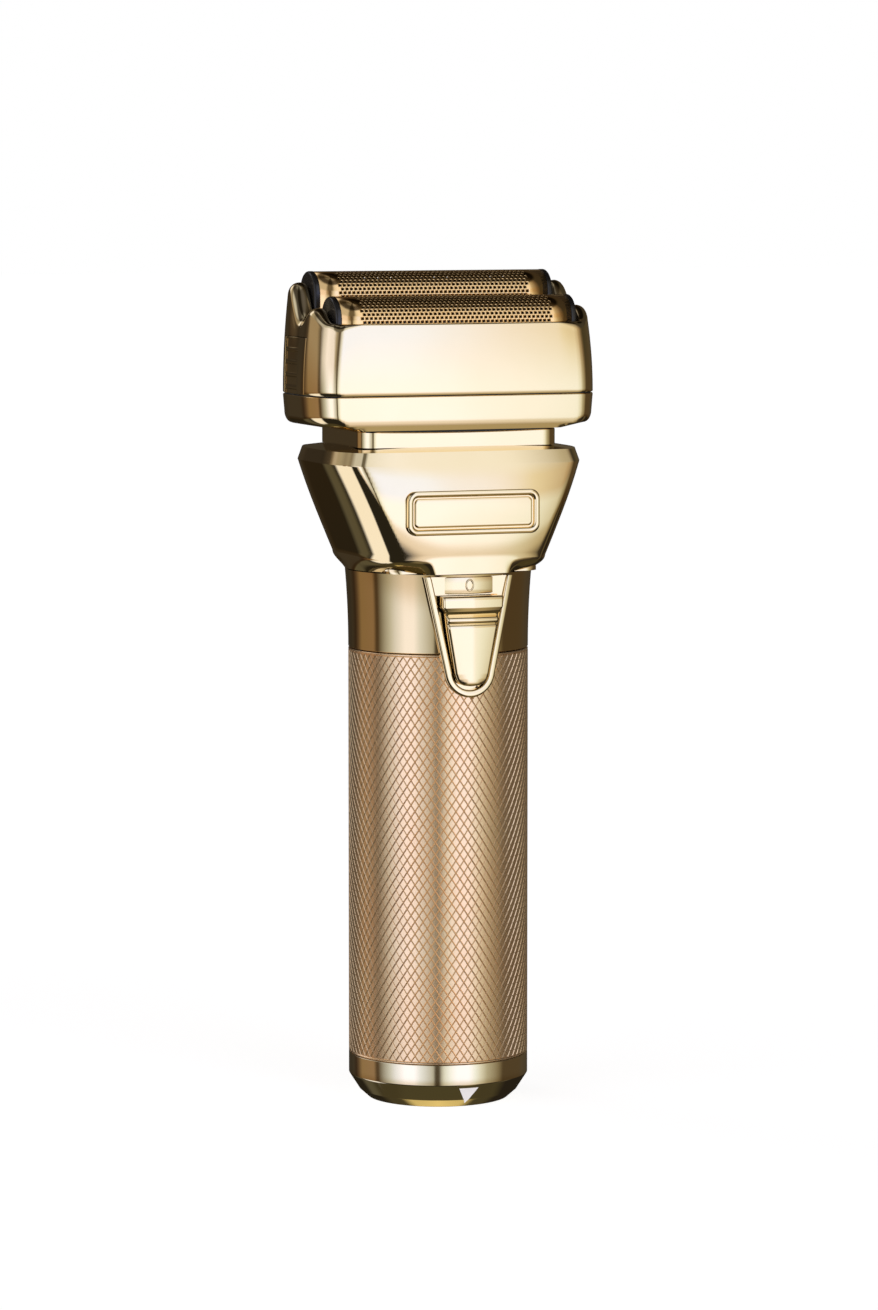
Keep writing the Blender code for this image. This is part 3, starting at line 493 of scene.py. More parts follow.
def make_charge_mark(mat):
    """The pale triangle let into the front of the chamfer, point down."""
    chamfer = [(0.0, FOOT_RADIUS), (FACET_TOP, FACET_RADIUS), (CHAMFER_TOP, BARREL_RADIUS)]
    proud, sunk = 0.05 * MM, -0.6 * MM
    rings = []
    for share in shares(12):
        height = MARK_HIGH + (MARK_LOW - MARK_HIGH) * share
        reach = through_knots(chamfer, height)
        half = max(MARK_HALF * (1.0 - share), 0.05 * MM)
        places = [half * across for across in (-1.0, -0.5, 0.0, 0.5, 1.0)]
        front = [(x, -math.sqrt((reach + proud) ** 2 - x ** 2), height) for x in places]
        back = [(x, -math.sqrt((reach + sunk) ** 2 - x ** 2), height) for x in places]
        rings.append(front + back[::-1])
    return piece("charge_mark", *loft(rings), mat["mark"], "handle", ["charge_light_lens"], "pale_lens")


def knurl_point(column, row, radius, low, step):
    angle = TAU * column / (2 * KNURL_AROUND)
    return radius * math.cos(angle), radius * math.sin(angle), low + row * step


def join_rings(faces, ring, other):
    for at in range(len(ring)):
        nxt = (at + 1) % len(ring)
        faces.append((ring[at], ring[nxt], other[nxt], other[at]))


def grip_end(points, faces, ring, start, face, away):
    """Adds the plain band from the knurl to an end of the sleeve, and returns the ring at its bore."""
    bevel = 0.12 * MM
    levels = [(BARREL_RADIUS, start + away * 0.2 * MM), (BARREL_RADIUS, face - away * bevel),
              (BARREL_RADIUS - bevel, face), (BARREL_BORE, face)]
    for radius, height in levels:
        new_ring = []
        for column in range(1, 2 * KNURL_AROUND, 2):
            new_ring.append(len(points))
            points.append(knurl_point(column, 0, radius, height, 0.0))
        join_rings(faces, ring, new_ring)
        ring = new_ring
    return ring


def knurl(points, faces, low, step):
    """Adds the raised diamond pads between crossing grooves, and returns the grooves' points at both ends."""
    around = 2 * KNURL_AROUND
    half_wide = TAU * BARREL_RADIUS / (2 * around)
    share = 1.0 - GROOVE_HALF * math.hypot(half_wide, step) / (half_wide * step)
    edge = GROOVE_HALF / step
    groove = BARREL_RADIUS - KNURL_DEPTH
    nodes = {}

    def node(column, row):
        key = (column % around, row)
        if key not in nodes:
            nodes[key] = len(points)
            points.append(knurl_point(*key, groove, low, step))
        return nodes[key]

    def pad_point(column, row):
        points.append(knurl_point(column, row, BARREL_RADIUS, low, step))
        return len(points) - 1

    for row in range(KNURL_ROWS + 1):
        for column in range(row % 2, around, 2):
            if 0 < row < KNURL_ROWS:
                outer = [node(column - 1, row), node(column, row - 1),
                         node(column + 1, row), node(column, row + 1)]
                inner = [pad_point(column - share, row), pad_point(column, row - share),
                         pad_point(column + share, row), pad_point(column, row + share)]
            else:
                side = 1 if row == 0 else -1
                base = share - edge
                outer = [node(column - 1, row), node(column + 1, row), node(column, row + side)]
                inner = [pad_point(column - base, row + side * edge),
                         pad_point(column + base, row + side * edge), pad_point(column, row + side * share)]
            faces.append(tuple(inner))
            join_rings(faces, outer, inner)
    return [[node(column, row) for column in range(1, around, 2)] for row in (0, KNURL_ROWS)]


def make_grip(mat):
    """The knurled sleeve, with a plain band at each end and a recess behind the bezel."""
    low, high = GRIP_LOW + GRIP_BAND, GRIP_HIGH - GRIP_BAND
    points, faces = [], []
    first, last = knurl(points, faces, low, (high - low) / KNURL_ROWS)
    bottom = grip_end(points, faces, first, low, GRIP_LOW, -1)
    top = grip_end(points, faces, last, high, GRIP_HIGH, 1)
    join_rings(faces, bottom, top)
    points = [(x, max(y, GRIP_RECESS), z) if behind_bezel(x, y, z) else (x, y, z) for x, y, z in points]
    grip = piece("knurled_sleeve", points, faces, mat["grip_rose"], "handle", ["grip_sleeve"], "rose_gold",
                 25.0)
    round_pads(grip)


def round_pads(grip):
    """Gives the pads the barrel's own normals, so that they reflect as one surface."""
    mesh = grip.data
    normals = [Vector(corner.vector) for corner in mesh.corner_normals]
    for face in mesh.polygons:
        points = [mesh.vertices[index].co for index in face.vertices]
        on_barrel = all(abs(point.xy.length - BARREL_RADIUS) <= 1e-6 for point in points)
        if on_barrel and abs(face.normal.z) <= 0.2:
            for loop, point in zip(face.loop_indices, points):
                normals[loop] = Vector((point.x, point.y, 0.0)).normalized()
    mesh.normals_split_custom_set(normals)


def make_collar(mat):
    """The ring between grip and neck: it widens upwards, and is cut out for the bezel."""
    lip = 0.15 * MM
    profile = [(BARREL_BORE, COLLAR_LOW), (BARREL_RADIUS - lip, COLLAR_LOW)]
    for share in shares(10):
        reach = BARREL_RADIUS + (COLLAR_RADIUS - BARREL_RADIUS) * share ** 2
        profile.append((reach, COLLAR_LOW + lip + (COLLAR_HIGH - COLLAR_LOW - lip) * share))
    profile.append((BARREL_BORE, COLLAR_HIGH))
    collar = piece("collar_shell", *turned(profile), mat["shaded_collar_gold"], "handle", ["collar"])
    opening = [[(x, y, z) for x, z in bezel_outline(0.6 * MM)] for y in (-30.0 * MM, -10.0 * MM)]
    cut_away(collar, loft(opening))


# Switch

def bezel_outline(inset):
    """(x, z) points of the bezel's edge: an open top, and sides that narrow down to a round bottom."""
    round_centre = BEZEL_LOW + BEZEL_ROUND
    tilt = math.atan2(BEZEL_HALF - BEZEL_ROUND, BEZEL_TOP - round_centre) * 0.85
    reach = BEZEL_ROUND - inset
    points = [(BEZEL_HALF - inset, BEZEL_TOP), (-(BEZEL_HALF - inset), BEZEL_TOP)]
    for share in shares(24):
        angle = math.pi + tilt + (math.pi - 2.0 * tilt) * share
        points.append((reach * math.cos(angle), round_centre + reach * math.sin(angle)))
    return points


def behind_bezel(x, y, z):
    """Whether a point of the barrel lies behind the bezel, well inside its edge."""
    round_centre = BEZEL_LOW + BEZEL_ROUND
    reach = BEZEL_ROUND - 1.4 * MM
    if y >= 0.0:
        return False
    if z < round_centre:
        return math.hypot(x, z - round_centre) < reach
    share = (z - round_centre) / (BEZEL_TOP - round_centre)
    return abs(x) < reach + (BEZEL_HALF - BEZEL_ROUND) * share


def bow(x):
    """How far the bezel's front falls back from its middle."""
    return BEZEL_BOW - math.sqrt(BEZEL_BOW ** 2 - x * x)


def finely(path, spacing):
    """The same open line with points no further apart than about the spacing."""
    fine = []
    for (ax, az), (bx, bz) in zip(path, path[1:]):
        count = max(1, round(math.hypot(bx - ax, bz - az) / spacing))
        fine += [(ax + (bx - ax) * at / count, az + (bz - az) * at / count) for at in range(count)]
    return fine + [path[-1]]


def rim_shell():
    """The rounded rim, run along the bezel's edge from one end of its open top to the other."""
    edge = bezel_outline(0.0)
    line = finely(edge[1:] + edge[:1], 0.8 * MM)
    section = rounded_path([(0.0, 0.0, 0.45 * MM), (BEZEL_RIM, 0.12 * MM, 0.45 * MM),
                            (BEZEL_RIM, BEZEL_DEEP, 0.0), (0.0, BEZEL_DEEP, 0.0)], steps=7)
    rings = []
    for at, (x, z) in enumerate(line):
        ax, az = line[max(0, at - 1)]
        bx, bz = line[min(len(line) - 1, at + 1)]
        length = math.hypot(bx - ax, bz - az)
        inward = (-(bz - az) / length, (bx - ax) / length)
        ring = []
        for into, back in section:
            px, pz = x + inward[0] * into, z + inward[1] * into
            if at in (0, len(line) - 1):
                pz = BEZEL_TOP
            ring.append((px, BEZEL_FRONT + bow(px) + back, pz))
        rings.append(ring)
    return loft(rings)


def make_bezel(mat):
    """The U-shaped rim round the slider, its floor, and the band that carries the mark."""
    faces = (WELL_FLOOR, WELL_FLOOR + 1.2 * MM)
    floor = loft([[(x, y, z) for x, z in bezel_outline(0.9 * MM)] for y in faces])
    shells = merged(rim_shell(), floor, band_shell())
    piece("switch_rim", *shells, mat["head_gold"], "handle", ["switch_bezel"])


def band_shell():
    """The curved band across the rim's open top."""
    rings = []
    for share in shares(24):
        x = BAND_HALF * (2.0 * share - 1.0)
        face = BAND_FRONT + bow(x) * 1.6
        loop = rounded_path([(face, BAND_LOW, 0.2 * MM), (face, BAND_HIGH, 0.2 * MM),
                             (face + MM, BAND_HIGH, 0.0), (face + MM, BAND_LOW, 0.0)], steps=4)
        rings.append([(x, y, z) for y, z in loop])
    return loft(rings)


def make_nought(mat):
    """The raised nought on the band, an oval loop of thin bar."""
    half_wide, half_tall, bar, proud = 0.72 * MM, 1.05 * MM, 0.19 * MM, 0.16 * MM
    seat = BAND_FRONT + 0.03 * MM
    rings = []
    for angle in turns(40):
        ring = []
        for turn in turns(10):
            out = bar * math.cos(turn)
            ring.append(((half_wide + out) * math.cos(angle), seat - proud * math.sin(turn),
                         NOUGHT_MIDDLE + (half_tall + out) * math.sin(angle)))
        rings.append(ring)
    piece("nought", *loft(rings, along=True), mat["head_gold"], "handle")


def make_slider(mat):
    """The thumb piece: a wide head, a cross ridge between two grooves and a tapering body."""
    # Half width and reach forwards at each height, all in millimetres
    widths = [(83.6, 0.7), (83.75, 1.6), (84.0, 2.2), (84.4, 2.7), (85.0, 3.1), (86.0, 3.45), (95.2, 5.1),
              (97.9, 5.5), (98.6, 5.9), (99.0, 6.2), (101.2, 6.3)]
    fronts = [(83.6, 18.95), (83.75, 19.2), (84.0, 19.35), (95.0, 19.6), (95.4, 19.55), (95.7, 19.25),
              (96.0, 19.7), (96.3, 19.8), (96.7, 19.8), (97.0, 19.65), (97.4, 19.25), (97.8, 19.65),
              (98.3, 19.95), (99.0, 20.05), (100.6, 20.0), (101.0, 19.9), (101.2, 19.6)]
    low, high = widths[0][0], widths[-1][0]
    rings = []
    for share in shares(116):
        height = low + (high - low) * share
        half = through_knots(widths, height) * MM
        front = -through_knots(fronts, height) * MM
        side = front + 0.2 * MM
        loop = rounded_path([(-half, SLIDER_BACK, 0.0), (-half, side, 0.5 * MM), (0.0, front, 12.0 * MM),
                             (half, side, 0.5 * MM), (half, SLIDER_BACK, 0.0)], steps=5)
        rings.append([(x, y, height * MM) for x, y in loop])
    piece("thumb_slider", *loft(rings), mat["head_gold"], "slider", ["switch_slider"])


# Neck

def neck_reach(angle, height):
    """The neck's outline: a round foot, a rounded rectangle that widens upwards, and a bevel."""
    rise = min(1.0, (max(height, NECK_EDGE) - NECK_EDGE) / (NECK_WIDEST - NECK_EDGE))
    from_middle = 2.0 * rise - 1.0
    fall = (0.4 if from_middle < 0.0 else 1.2) * MM * from_middle ** 2
    bevel = [(NECK_WIDEST, 0.0), (NECK_SHOULDER, 0.7 * MM), (NECK_TOP, 5.2 * MM)]
    inset = through_knots(bevel, height)
    half_width = NECK_EDGE_HALF + (NECK_HALF_WIDTH - NECK_EDGE_HALF) * rise - inset
    half_depth = NECK_HALF_DEPTH - fall - NECK_CROWN - inset
    reach = rounded_reach(angle, half_width, half_depth, 5.4 * MM, 12.0 * MM)
    share = min(1.0, abs(reach * math.cos(angle)) / (half_width - 2.0 * MM))
    reach += NECK_CROWN * (1.0 - share ** 3) / max(0.3, abs(math.sin(angle)))
    if height < NECK_EDGE:
        share = (height - NECK_FOOT) / (NECK_EDGE - NECK_FOOT)
        scoop = NECK_FOOT_RADIUS + (reach - NECK_FOOT_RADIUS) * (1.0 - (1.0 - share) ** 2)
        across = abs(reach * math.cos(angle))
        tongue = (1.0 - blend_step(7.0 * MM, 11.5 * MM, across)) * (math.sin(angle) < 0.0)
        reach = scoop + (reach - scoop) * tongue
    return reach


def make_neck(mat):
    """The housing under the head, open below over the collar and above round the pedestal."""
    soft = 0.12 * MM
    heights = [NECK_FOOT + (NECK_EDGE - NECK_FOOT) * share for share in shares(14)]
    heights += [NECK_EDGE + (NECK_WIDEST - NECK_EDGE) * share for share in shares(20)[1:]]
    heights.insert(-1, NECK_WIDEST - soft)
    heights += [NECK_WIDEST + soft, NECK_SHOULDER - soft, NECK_SHOULDER, NECK_SHOULDER + 0.03 * MM, NECK_TOP]
    steps = 420
    rings = [polar_ring(lambda angle, at=height: neck_reach(angle, at), height, steps) for height in heights]
    for height, half_width, half_depth in ((130.0, 17.8, 12.3), (127.6, 17.8, 12.3), (106.0, 15.6, 15.5),
                                           (105.5, 15.6, 15.5)):
        rings.append(plain_ring(height * MM, half_width * MM, half_depth * MM, 3.0 * MM, steps))
    piece("neck_body", *loft(rings, along=True), mat["head_gold"], "handle", ["neck_shell"])


def make_badge(mat):
    """A framed plate with a blank recessed middle."""
    # How far in from the edge and how far out from the seat, in millimetres
    levels = [(0.0, 0.0), (0.0, 0.75), (0.12, 0.95), (0.35, 1.05), (0.8, 1.05), (1.02, 0.95), (1.15, 0.75),
              (1.25, 0.4), (1.45, 0.4), (1.55, 0.62), (1.7, 0.7), (1.9, 0.72)]
    rings = []
    for inset, out in levels:
        wide, tall = BADGE_HALF_WIDTH - inset * MM, BADGE_HALF_HEIGHT - inset * MM
        corner = (1.9 - 0.7 * inset) * MM
        loop = rounded_path([(-wide, -tall, corner), (wide, -tall, corner), (wide, tall, corner),
                             (-wide, tall, corner)], steps=8)
        rings.append([(x, BADGE_SEAT - out * MM, BADGE_MIDDLE + z) for x, z in loop])
    piece("name_plate", *loft(rings), mat["head_gold"], "handle", ["badge"])


# Head

def crowned(x, y):
    """Bows the front and back faces of the head a little."""
    share = min(1.0, abs(x) / (HEAD_HALF_WIDTH - HEAD_CORNER_X))
    swell = HEAD_CROWN * (1.0 - share * share) * min(1.0, abs(y) / (HEAD_HALF_DEPTH - 1.0 * MM))
    return x, y + math.copysign(swell, y)


def polar_ring(reach_at, height, steps):
    """A level ring of points at reach_at(angle) from Z."""
    ring = []
    for angle in turns(steps):
        reach = reach_at(angle)
        ring.append((reach * math.cos(angle), reach * math.sin(angle), height))
    return ring


def head_ring(height, inset_x, inset_y, steps=480):
    """A ring of the head's crowned outline."""
    box = (HEAD_HALF_WIDTH - inset_x, HEAD_HALF_DEPTH - inset_y)
    corner = (max(1.0 * MM, HEAD_CORNER_X - 0.3 * inset_x), max(2.0 * MM, HEAD_CORNER_Y - 0.5 * inset_y))
    ring = polar_ring(lambda angle: rounded_reach(angle, *box, *corner), height, steps)
    return [(*crowned(x, y), z) for x, y, z in ring]


def plain_ring(height, half_width, half_depth, corner, steps=480):
    box = (half_width, half_depth, corner, corner)
    return polar_ring(lambda angle: rounded_reach(angle, *box), height, steps)


def pedestal_ring(height, inset, steps=480):
    return plain_ring(height, PEDESTAL_HALF - inset, PEDESTAL_HALF_DEPTH - inset, PEDESTAL_CORNER, steps)


def pedestal_rings():
    """The pedestal's wall, whose top sags in the middle and leaves a crease there."""
    rings = []
    for height, inset, sag in ((PEDESTAL_LOW, 0.0, 0.0), (PEDESTAL_HIGH, 0.0, PEDESTAL_SAG),
                               (PEDESTAL_HIGH + 0.12 * MM, 0.12 * MM, PEDESTAL_SAG),
                               (PEDESTAL_HIGH + 0.12 * MM, 0.9 * MM, PEDESTAL_SAG)):
        ring = pedestal_ring(height, inset)
        rings.append([(x, y, z - sag * (1.0 - (x / PEDESTAL_HALF) ** 2)) for x, y, z in ring])
    return rings + [pedestal_ring(HEAD_LOW - 0.02 * MM, 0.9 * MM)]


def tray_rings():
    """The tray's outside: its ends slope and turn a corner underneath, and its faces tuck in a little."""
    profile = [(0.0, TRAY_SLOPE), (0.5 * TRAY_RISE, 0.5 * (TRAY_SLOPE + TRAY_ROUND))]
    for share in shares(12):
        angle = math.pi / 2 * share
        rise = TRAY_RISE + TRAY_CORNER * (1.0 - math.cos(angle))
        profile.append((rise, TRAY_SIDE + (TRAY_ROUND - TRAY_SIDE) * (1.0 - math.sin(angle))))
    rings = []
    for rise, inset in profile:
        low = 1.0 - rise / (TRAY_RISE + TRAY_CORNER)
        rings.append(head_ring(HEAD_LOW + rise, inset, TRAY_TUCK * low ** 2))
    edge, bevel = SEAM - SEAM_HALF, 0.12 * MM
    return rings + [head_ring(edge - bevel, 0.0, 0.0), head_ring(edge, bevel, bevel)]


def make_head_tray(mat):
    """The fixed lower head: a spigot, the pedestal and the hollow tray, with a well through them."""
    spigot = (17.4 * MM, 11.9 * MM, 3.0 * MM)
    well = (13.0 * MM, 7.0 * MM, 2.0 * MM)
    rings = [plain_ring(SPIGOT_LOW, *spigot), plain_ring(PEDESTAL_LOW, *spigot)]
    rings += pedestal_rings() + tray_rings()
    rings += [head_ring(SEAM - SEAM_HALF, 1.6 * MM, 1.6 * MM), head_ring(TRAY_FLOOR, 2.0 * MM, 1.8 * MM)]
    rings += [plain_ring(TRAY_FLOOR, *well), plain_ring(SPIGOT_LOW, *well)]
    piece("head_tray", *loft(rings, along=True), mat["head_gold"], "handle", ["head_base"])


def make_seam_and_crease_shade(mat):
    """Black bands set into the seam under the cap and the crease over the pedestal, as painted shadow in
    those gaps.
    """
    steps = 240
    outer, inner = 0.45 * MM, 1.5 * MM
    low, high = SEAM - SEAM_HALF - 0.3 * MM, SEAM + SEAM_HALF - 0.02 * MM
    seam = [head_ring(height, inset, inset, steps)
            for height, inset in ((low, outer), (high, outer), (high, inner), (low, inner))]
    outer, inner = 0.35 * MM, 0.8 * MM
    low, high = HEAD_LOW - 0.7 * MM, HEAD_LOW - 0.03 * MM
    crease = [pedestal_ring(height, inset, steps)
              for height, inset in ((low, outer), (high, outer), (high, inner), (low, inner))]
    shells = merged(loft(seam, along=True), loft(crease, along=True))
    # Painted shadow: the rubber finish keeps these bands black where the gaps are in shade
    piece("seam_and_crease_shade", *shells, mat["rubber"], "handle", [], "black_rubber")


def rim_height(y):
    """Height of the cap's rim, which rises to an ear beside each foil."""
    return through_knots(RIM_KNOTS, y / MM, blend_step) * MM


def cap_wall(angle, share):
    """A point of the cap's outer wall in plan; the wall leans in towards its rim."""
    reach = rounded_reach(angle, HEAD_HALF_WIDTH, HEAD_HALF_DEPTH, HEAD_CORNER_X, HEAD_CORNER_Y)
    x, y = crowned(reach * math.cos(angle), reach * math.sin(angle))
    return x * (1.0 - CAP_LEAN_X * share ** 2), y * (1.0 - CAP_LEAN_Y * share ** 2)


def part_way(start, end, share):
    """The point a share of the way from start to end, in plan."""
    return start[0] + (end[0] - start[0]) * share, start[1] + (end[1] - start[1]) * share


def cap_shell():
    """The walls from foot to rim, the rounding over the rim, and the window's walls down to the foot."""
    steps = 480
    angles = turns(steps)
    outer = [cap_wall(angle, 1.0) for angle in angles]
    window = [(x, y) for x, y, _ in plain_ring(0.0, WINDOW_HALF_WIDTH, WINDOW_HALF_DEPTH, 0.8 * MM, steps)]
    gaps = [math.dist(edge, hole) for edge, hole in zip(outer, window)]
    tops = [rim_height(cap_wall(angle, 0.0)[1]) for angle in angles]
    falls = [min(through_knots(RIM_ROUND, abs(x) / MM, blend_step) * MM, 0.62 * gap)
             for (x, _), gap in zip(outer, gaps)]
    foot = [cap_wall(angle, 0.0) for angle in angles]
    rings = [[(x * 0.997, y * 0.997, CAP_FOOT) for x, y in foot]]
    low = CAP_FOOT + 0.15 * MM
    for share in shares(14):
        rings.append([(*cap_wall(angle, share), low + (top - fall - low) * share)
                      for angle, top, fall in zip(angles, tops, falls)])
    for bend in shares(9)[1:]:
        turn = math.pi / 2 * bend
        ring = []
        for edge, hole, gap, top, fall in zip(outer, window, gaps, tops, falls):
            share = min(0.66, fall / gap) * (1.0 - math.cos(turn))
            ring.append((*part_way(edge, hole, share), top - fall * (1.0 - math.sin(turn))))
        rings.append(ring)
    for share, drop in ((0.72, 0.04), (0.82, 0.18), (0.91, 0.45), (0.97, 0.8), (1.0, 1.2)):
        rings.append([(*part_way(edge, hole, share), top - drop * MM)
                      for edge, hole, top in zip(outer, window, tops)])
    rings.append([(x, y, CAP_FOOT) for x, y in window])
    return loft(rings, along=True)


def make_cap(mat):
    """The shell over the foils with an opening for each press pad, and the bar between the foils."""
    cap = piece("cap_shell", *cap_shell(), mat["head_gold"], "cap", ["foil_cap"])
    bar = block((-25.2 * MM, 25.2 * MM), (-1.4 * MM, 1.4 * MM), (151.8 * MM, 153.1 * MM))
    piece("cap_bar", *bar, mat["head_gold"], "cap")
    for side in (-1, 1):
        through = (side * 25.6 * MM, side * 33.0 * MM)
        cut_away(cap, block(through, (-PAD_HALF, PAD_HALF), (CAP_FOOT - MM, PAD_TOP)))


def pad_face(y, height, side):
    """x of the press pad's outer face, which carries on the cap's wall."""
    beyond = max(0.0, abs(y) - (HEAD_HALF_DEPTH - HEAD_CORNER_Y)) / HEAD_CORNER_Y
    wall = HEAD_HALF_WIDTH - HEAD_CORNER_X * (1.0 - math.sqrt(1.0 - beyond ** 2))
    share = (height - CAP_FOOT) / (rim_height(y) - 1.9 * MM - CAP_FOOT)
    return side * wall * (1.0 - CAP_LEAN_X * share ** 2)


def make_press_pad(mat, place, side):
    """A pad with a stack of ribs across it, which stand out of a shallow panel."""
    seam = 0.15 * MM
    half, top = PAD_HALF - seam, PAD_TOP - seam
    columns, rows = 40, 110
    rings = []
    for row in range(rows + 1):
        height = CAP_FOOT + (top - CAP_FOOT) * row / rows
        from_rib = abs((height - CAP_FOOT) % RIB_PITCH - RIB_PITCH / 2)
        rib = math.sqrt(max(0.0, 1.0 - (from_rib / RIB_HALF) ** 2))
        ring = []
        for column in range(columns + 1):
            y = half * (2.0 * column / columns - 1.0)
            panel = blend_step(-1.9 * MM, -1.3 * MM, y) * (1.0 - blend_step(4.6 * MM, 5.2 * MM, y))
            sunk = 0.05 * MM + 0.15 * MM * panel * (1.0 - rib)
            bevel = 0.06 * MM * (row in (0, rows) or column in (0, columns))
            ring.append((pad_face(y, height, side) - side * (sunk + bevel), y, height))
        rings.append(ring + [(side * PAD_BACK, half, height), (side * PAD_BACK, -half, height)])
    piece(f"press_pad_{place}", *loft(rings), mat["head_gold"], f"{place}_button",
          [f"release_button_{place}"])


# Foils

def arch(y, axis, run):
    """(y, z) at a distance from the crown along the foil's arch and its straight skirts."""
    quarter = FOIL_RADIUS * math.pi / 2
    if abs(run) <= quarter:
        return y + FOIL_RADIUS * math.sin(run / FOIL_RADIUS), axis + FOIL_RADIUS * math.cos(run / FOIL_RADIUS)
    return y + math.copysign(FOIL_RADIUS, run), axis - (abs(run) - quarter)


def foil_column(column):
    """x of a column of half cells, or of the sheet's end for a column beyond them."""
    if 0 <= column <= 2 * HOLE_COLUMNS:
        return (column - HOLE_COLUMNS) * HOLE_PITCH / 2
    return math.copysign(FOIL_HALF_LENGTH, column)


def foil_row(row):
    """Distance of a row along the arch. The rows beyond the holes share the plain skirt."""
    holed = HOLE_ROWS * HOLE_ROW / 2
    plain = FOIL_SKIRT + FOIL_RADIUS * math.pi / 2 - holed
    if row < 0:
        return -holed + plain * row / SKIRT_ROWS
    if row > HOLE_ROWS:
        return holed + plain * (row - HOLE_ROWS) / SKIRT_ROWS
    return row * HOLE_ROW - holed


def make_foil(mat, place, y, axis):
    """A thin arched sheet with staggered holes between plain ends."""
    points, faces = [], []
    index = {}
    last = 2 * HOLE_COLUMNS

    def corner(column, row):
        key = (column, row)
        if key not in index:
            index[key] = len(points)
            points.append((foil_column(column), *arch(y, axis, foil_row(row))))
        return index[key]

    def square(column, row):
        faces.append((corner(column, row), corner(column + 1, row), corner(column + 1, row + 1),
                      corner(column, row + 1)))

    for row in range(HOLE_ROWS):
        shift = row % 2
        for cell in range(HOLE_COLUMNS - shift):
            left = 2 * cell + shift
            outer = [corner(left + step, row) for step in (0, 1, 2)]
            outer += [corner(left + step, row + 1) for step in (2, 1, 0)]
            hole = []
            for angle in (-150, -90, -30, 30, 90, 150):
                turn = math.radians(angle)
                run = foil_row(row + 0.5) + HOLE_RADIUS * math.sin(turn)
                hole.append(len(points))
                points.append((foil_column(left + 1) + HOLE_RADIUS * math.cos(turn), *arch(y, axis, run)))
            join_rings(faces, outer, hole)
        if shift:
            square(0, row)
            square(last - 1, row)
    for row in range(-SKIRT_ROWS, HOLE_ROWS + SKIRT_ROWS):
        for column in range(-1, last + 1):
            if not (0 <= row < HOLE_ROWS and 0 <= column < last):
                square(column, row)
    foil = piece(f"foil_sheet_{place}", points, faces, mat["foil_gold"], f"{place}_foil", [f"foil_{place}"],
                 "foil_gold", 30.0)
    skin = foil.modifiers.new("thickness", "SOLIDIFY")
    skin.thickness = FOIL_SHEET
    skin.offset = -1.0


def end_plate(side, y, axis, radius, low):
    """An arched plate on straight sides, with its outer edge rounded off."""
    levels = [(FOIL_HALF_LENGTH + 0.03 * MM, 0.0), (FRAME_HALF_LENGTH - 0.45 * MM, 0.0),
              (FRAME_HALF_LENGTH - 0.2 * MM, 0.07 * MM), (FRAME_HALF_LENGTH - 0.05 * MM, 0.22 * MM),
              (FRAME_HALF_LENGTH, 0.45 * MM)]
    angles = [math.pi * share for share in shares(32)]
    rings = []
    for x, inset in levels:
        reach = radius - inset
        top = [(side * x, y + reach * math.cos(angle), axis + reach * math.sin(angle)) for angle in angles]
        rings.append([(side * x, y + reach, low), *top, (side * x, y - reach, low)])
    return loft(rings)


def make_foil_ends(mat, place, y, axis):
    """The black arched plates that hold the ends of a foil, and the rails under its skirts."""
    radius = FOIL_RADIUS + 0.05 * MM
    rail_inside = 4.15 * MM
    rail_end = FOIL_HALF_LENGTH + 0.02 * MM
    low, rail_top = axis - FOIL_SKIRT - 2.4 * MM, axis - FOIL_SKIRT - 0.2 * MM
    shells = []
    for side in (-1, 1):
        shells.append(end_plate(side, y, axis, radius, low))
        across = (y + side * radius, y + side * rail_inside)
        shells.append(block((-rail_end, rail_end), across, (low, rail_top)))
    piece(f"foil_ends_{place}", *merged(*shells), mat["black_plastic"], f"{place}_foil",
          [f"foil_frame_{place}"], "black_plastic")


# Stage, light and camera

# The studio all round, in rings from below to above. A row is degrees to the right of the camera's side, then
# the light's red, green and blue in hundredths
BOTTOM_STUDIO = [
    (-180, 80, 64, 28), (-140, 60, 48, 20), (-115, 7, 6, 3), (115, 7, 6, 3), (140, 60, 48, 20),
    (180, 80, 64, 28),
]
FLOOR_STUDIO = [(-180, 6, 5, 2.5), (180, 6, 5, 2.5)]
LOW_STUDIO = [
    (-180, 2, 1.6, 1), (-146, 2, 1.6, 1), (-138, 10, 9, 6), (-128, 10, 9, 6), (-119, 2, 1.8, 1.4),
    (-113, 100, 100, 110), (-88, 100, 100, 110), (-82, 2, 1.8, 1.4), (28, 2, 1.8, 1.4), (37, 45, 38, 25),
    (50, 40, 33, 21), (60, 5, 4, 3), (90, 2, 1.6, 1.2), (104, 12, 10, 6), (118, 2, 1.6, 1.2),
    (180, 2, 1.6, 1),
]
MID_STUDIO = [
    (-180, 5, 4, 2.8), (-150, 4, 3.2, 2.2), (-141, 5, 4, 2.8), (-131, 4, 2.5, 1.5), (-124, 11, 7, 4),
    (-115, 28, 19, 10), (-91, 30, 20, 12), (-86, 9, 6, 3.5), (-83, 9, 6, 3.5), (-79, 21, 19, 16),
    (-74, 36, 36, 35), (-65, 60, 64, 69), (-56, 86, 93, 118), (-43, 118, 124, 165), (-31, 118, 124, 165),
    (-23, 87, 96, 120), (-6, 50, 51, 50), (-3.5, 8, 6.5, 4.5), (1.5, 8, 6.5, 4.5), (4.5, 47, 48, 47),
    (8, 77, 83, 88), (16, 100, 110, 132), (25, 118, 124, 165), (40, 118, 124, 165), (49, 93, 102, 116),
    (57, 73, 75, 72), (66, 46, 44, 35), (84, 23, 19, 12), (92, 8.5, 6, 3.3), (127, 8.5, 6, 3.3),
    (140, 8, 6.2, 4), (180, 5, 4, 2.8),
]
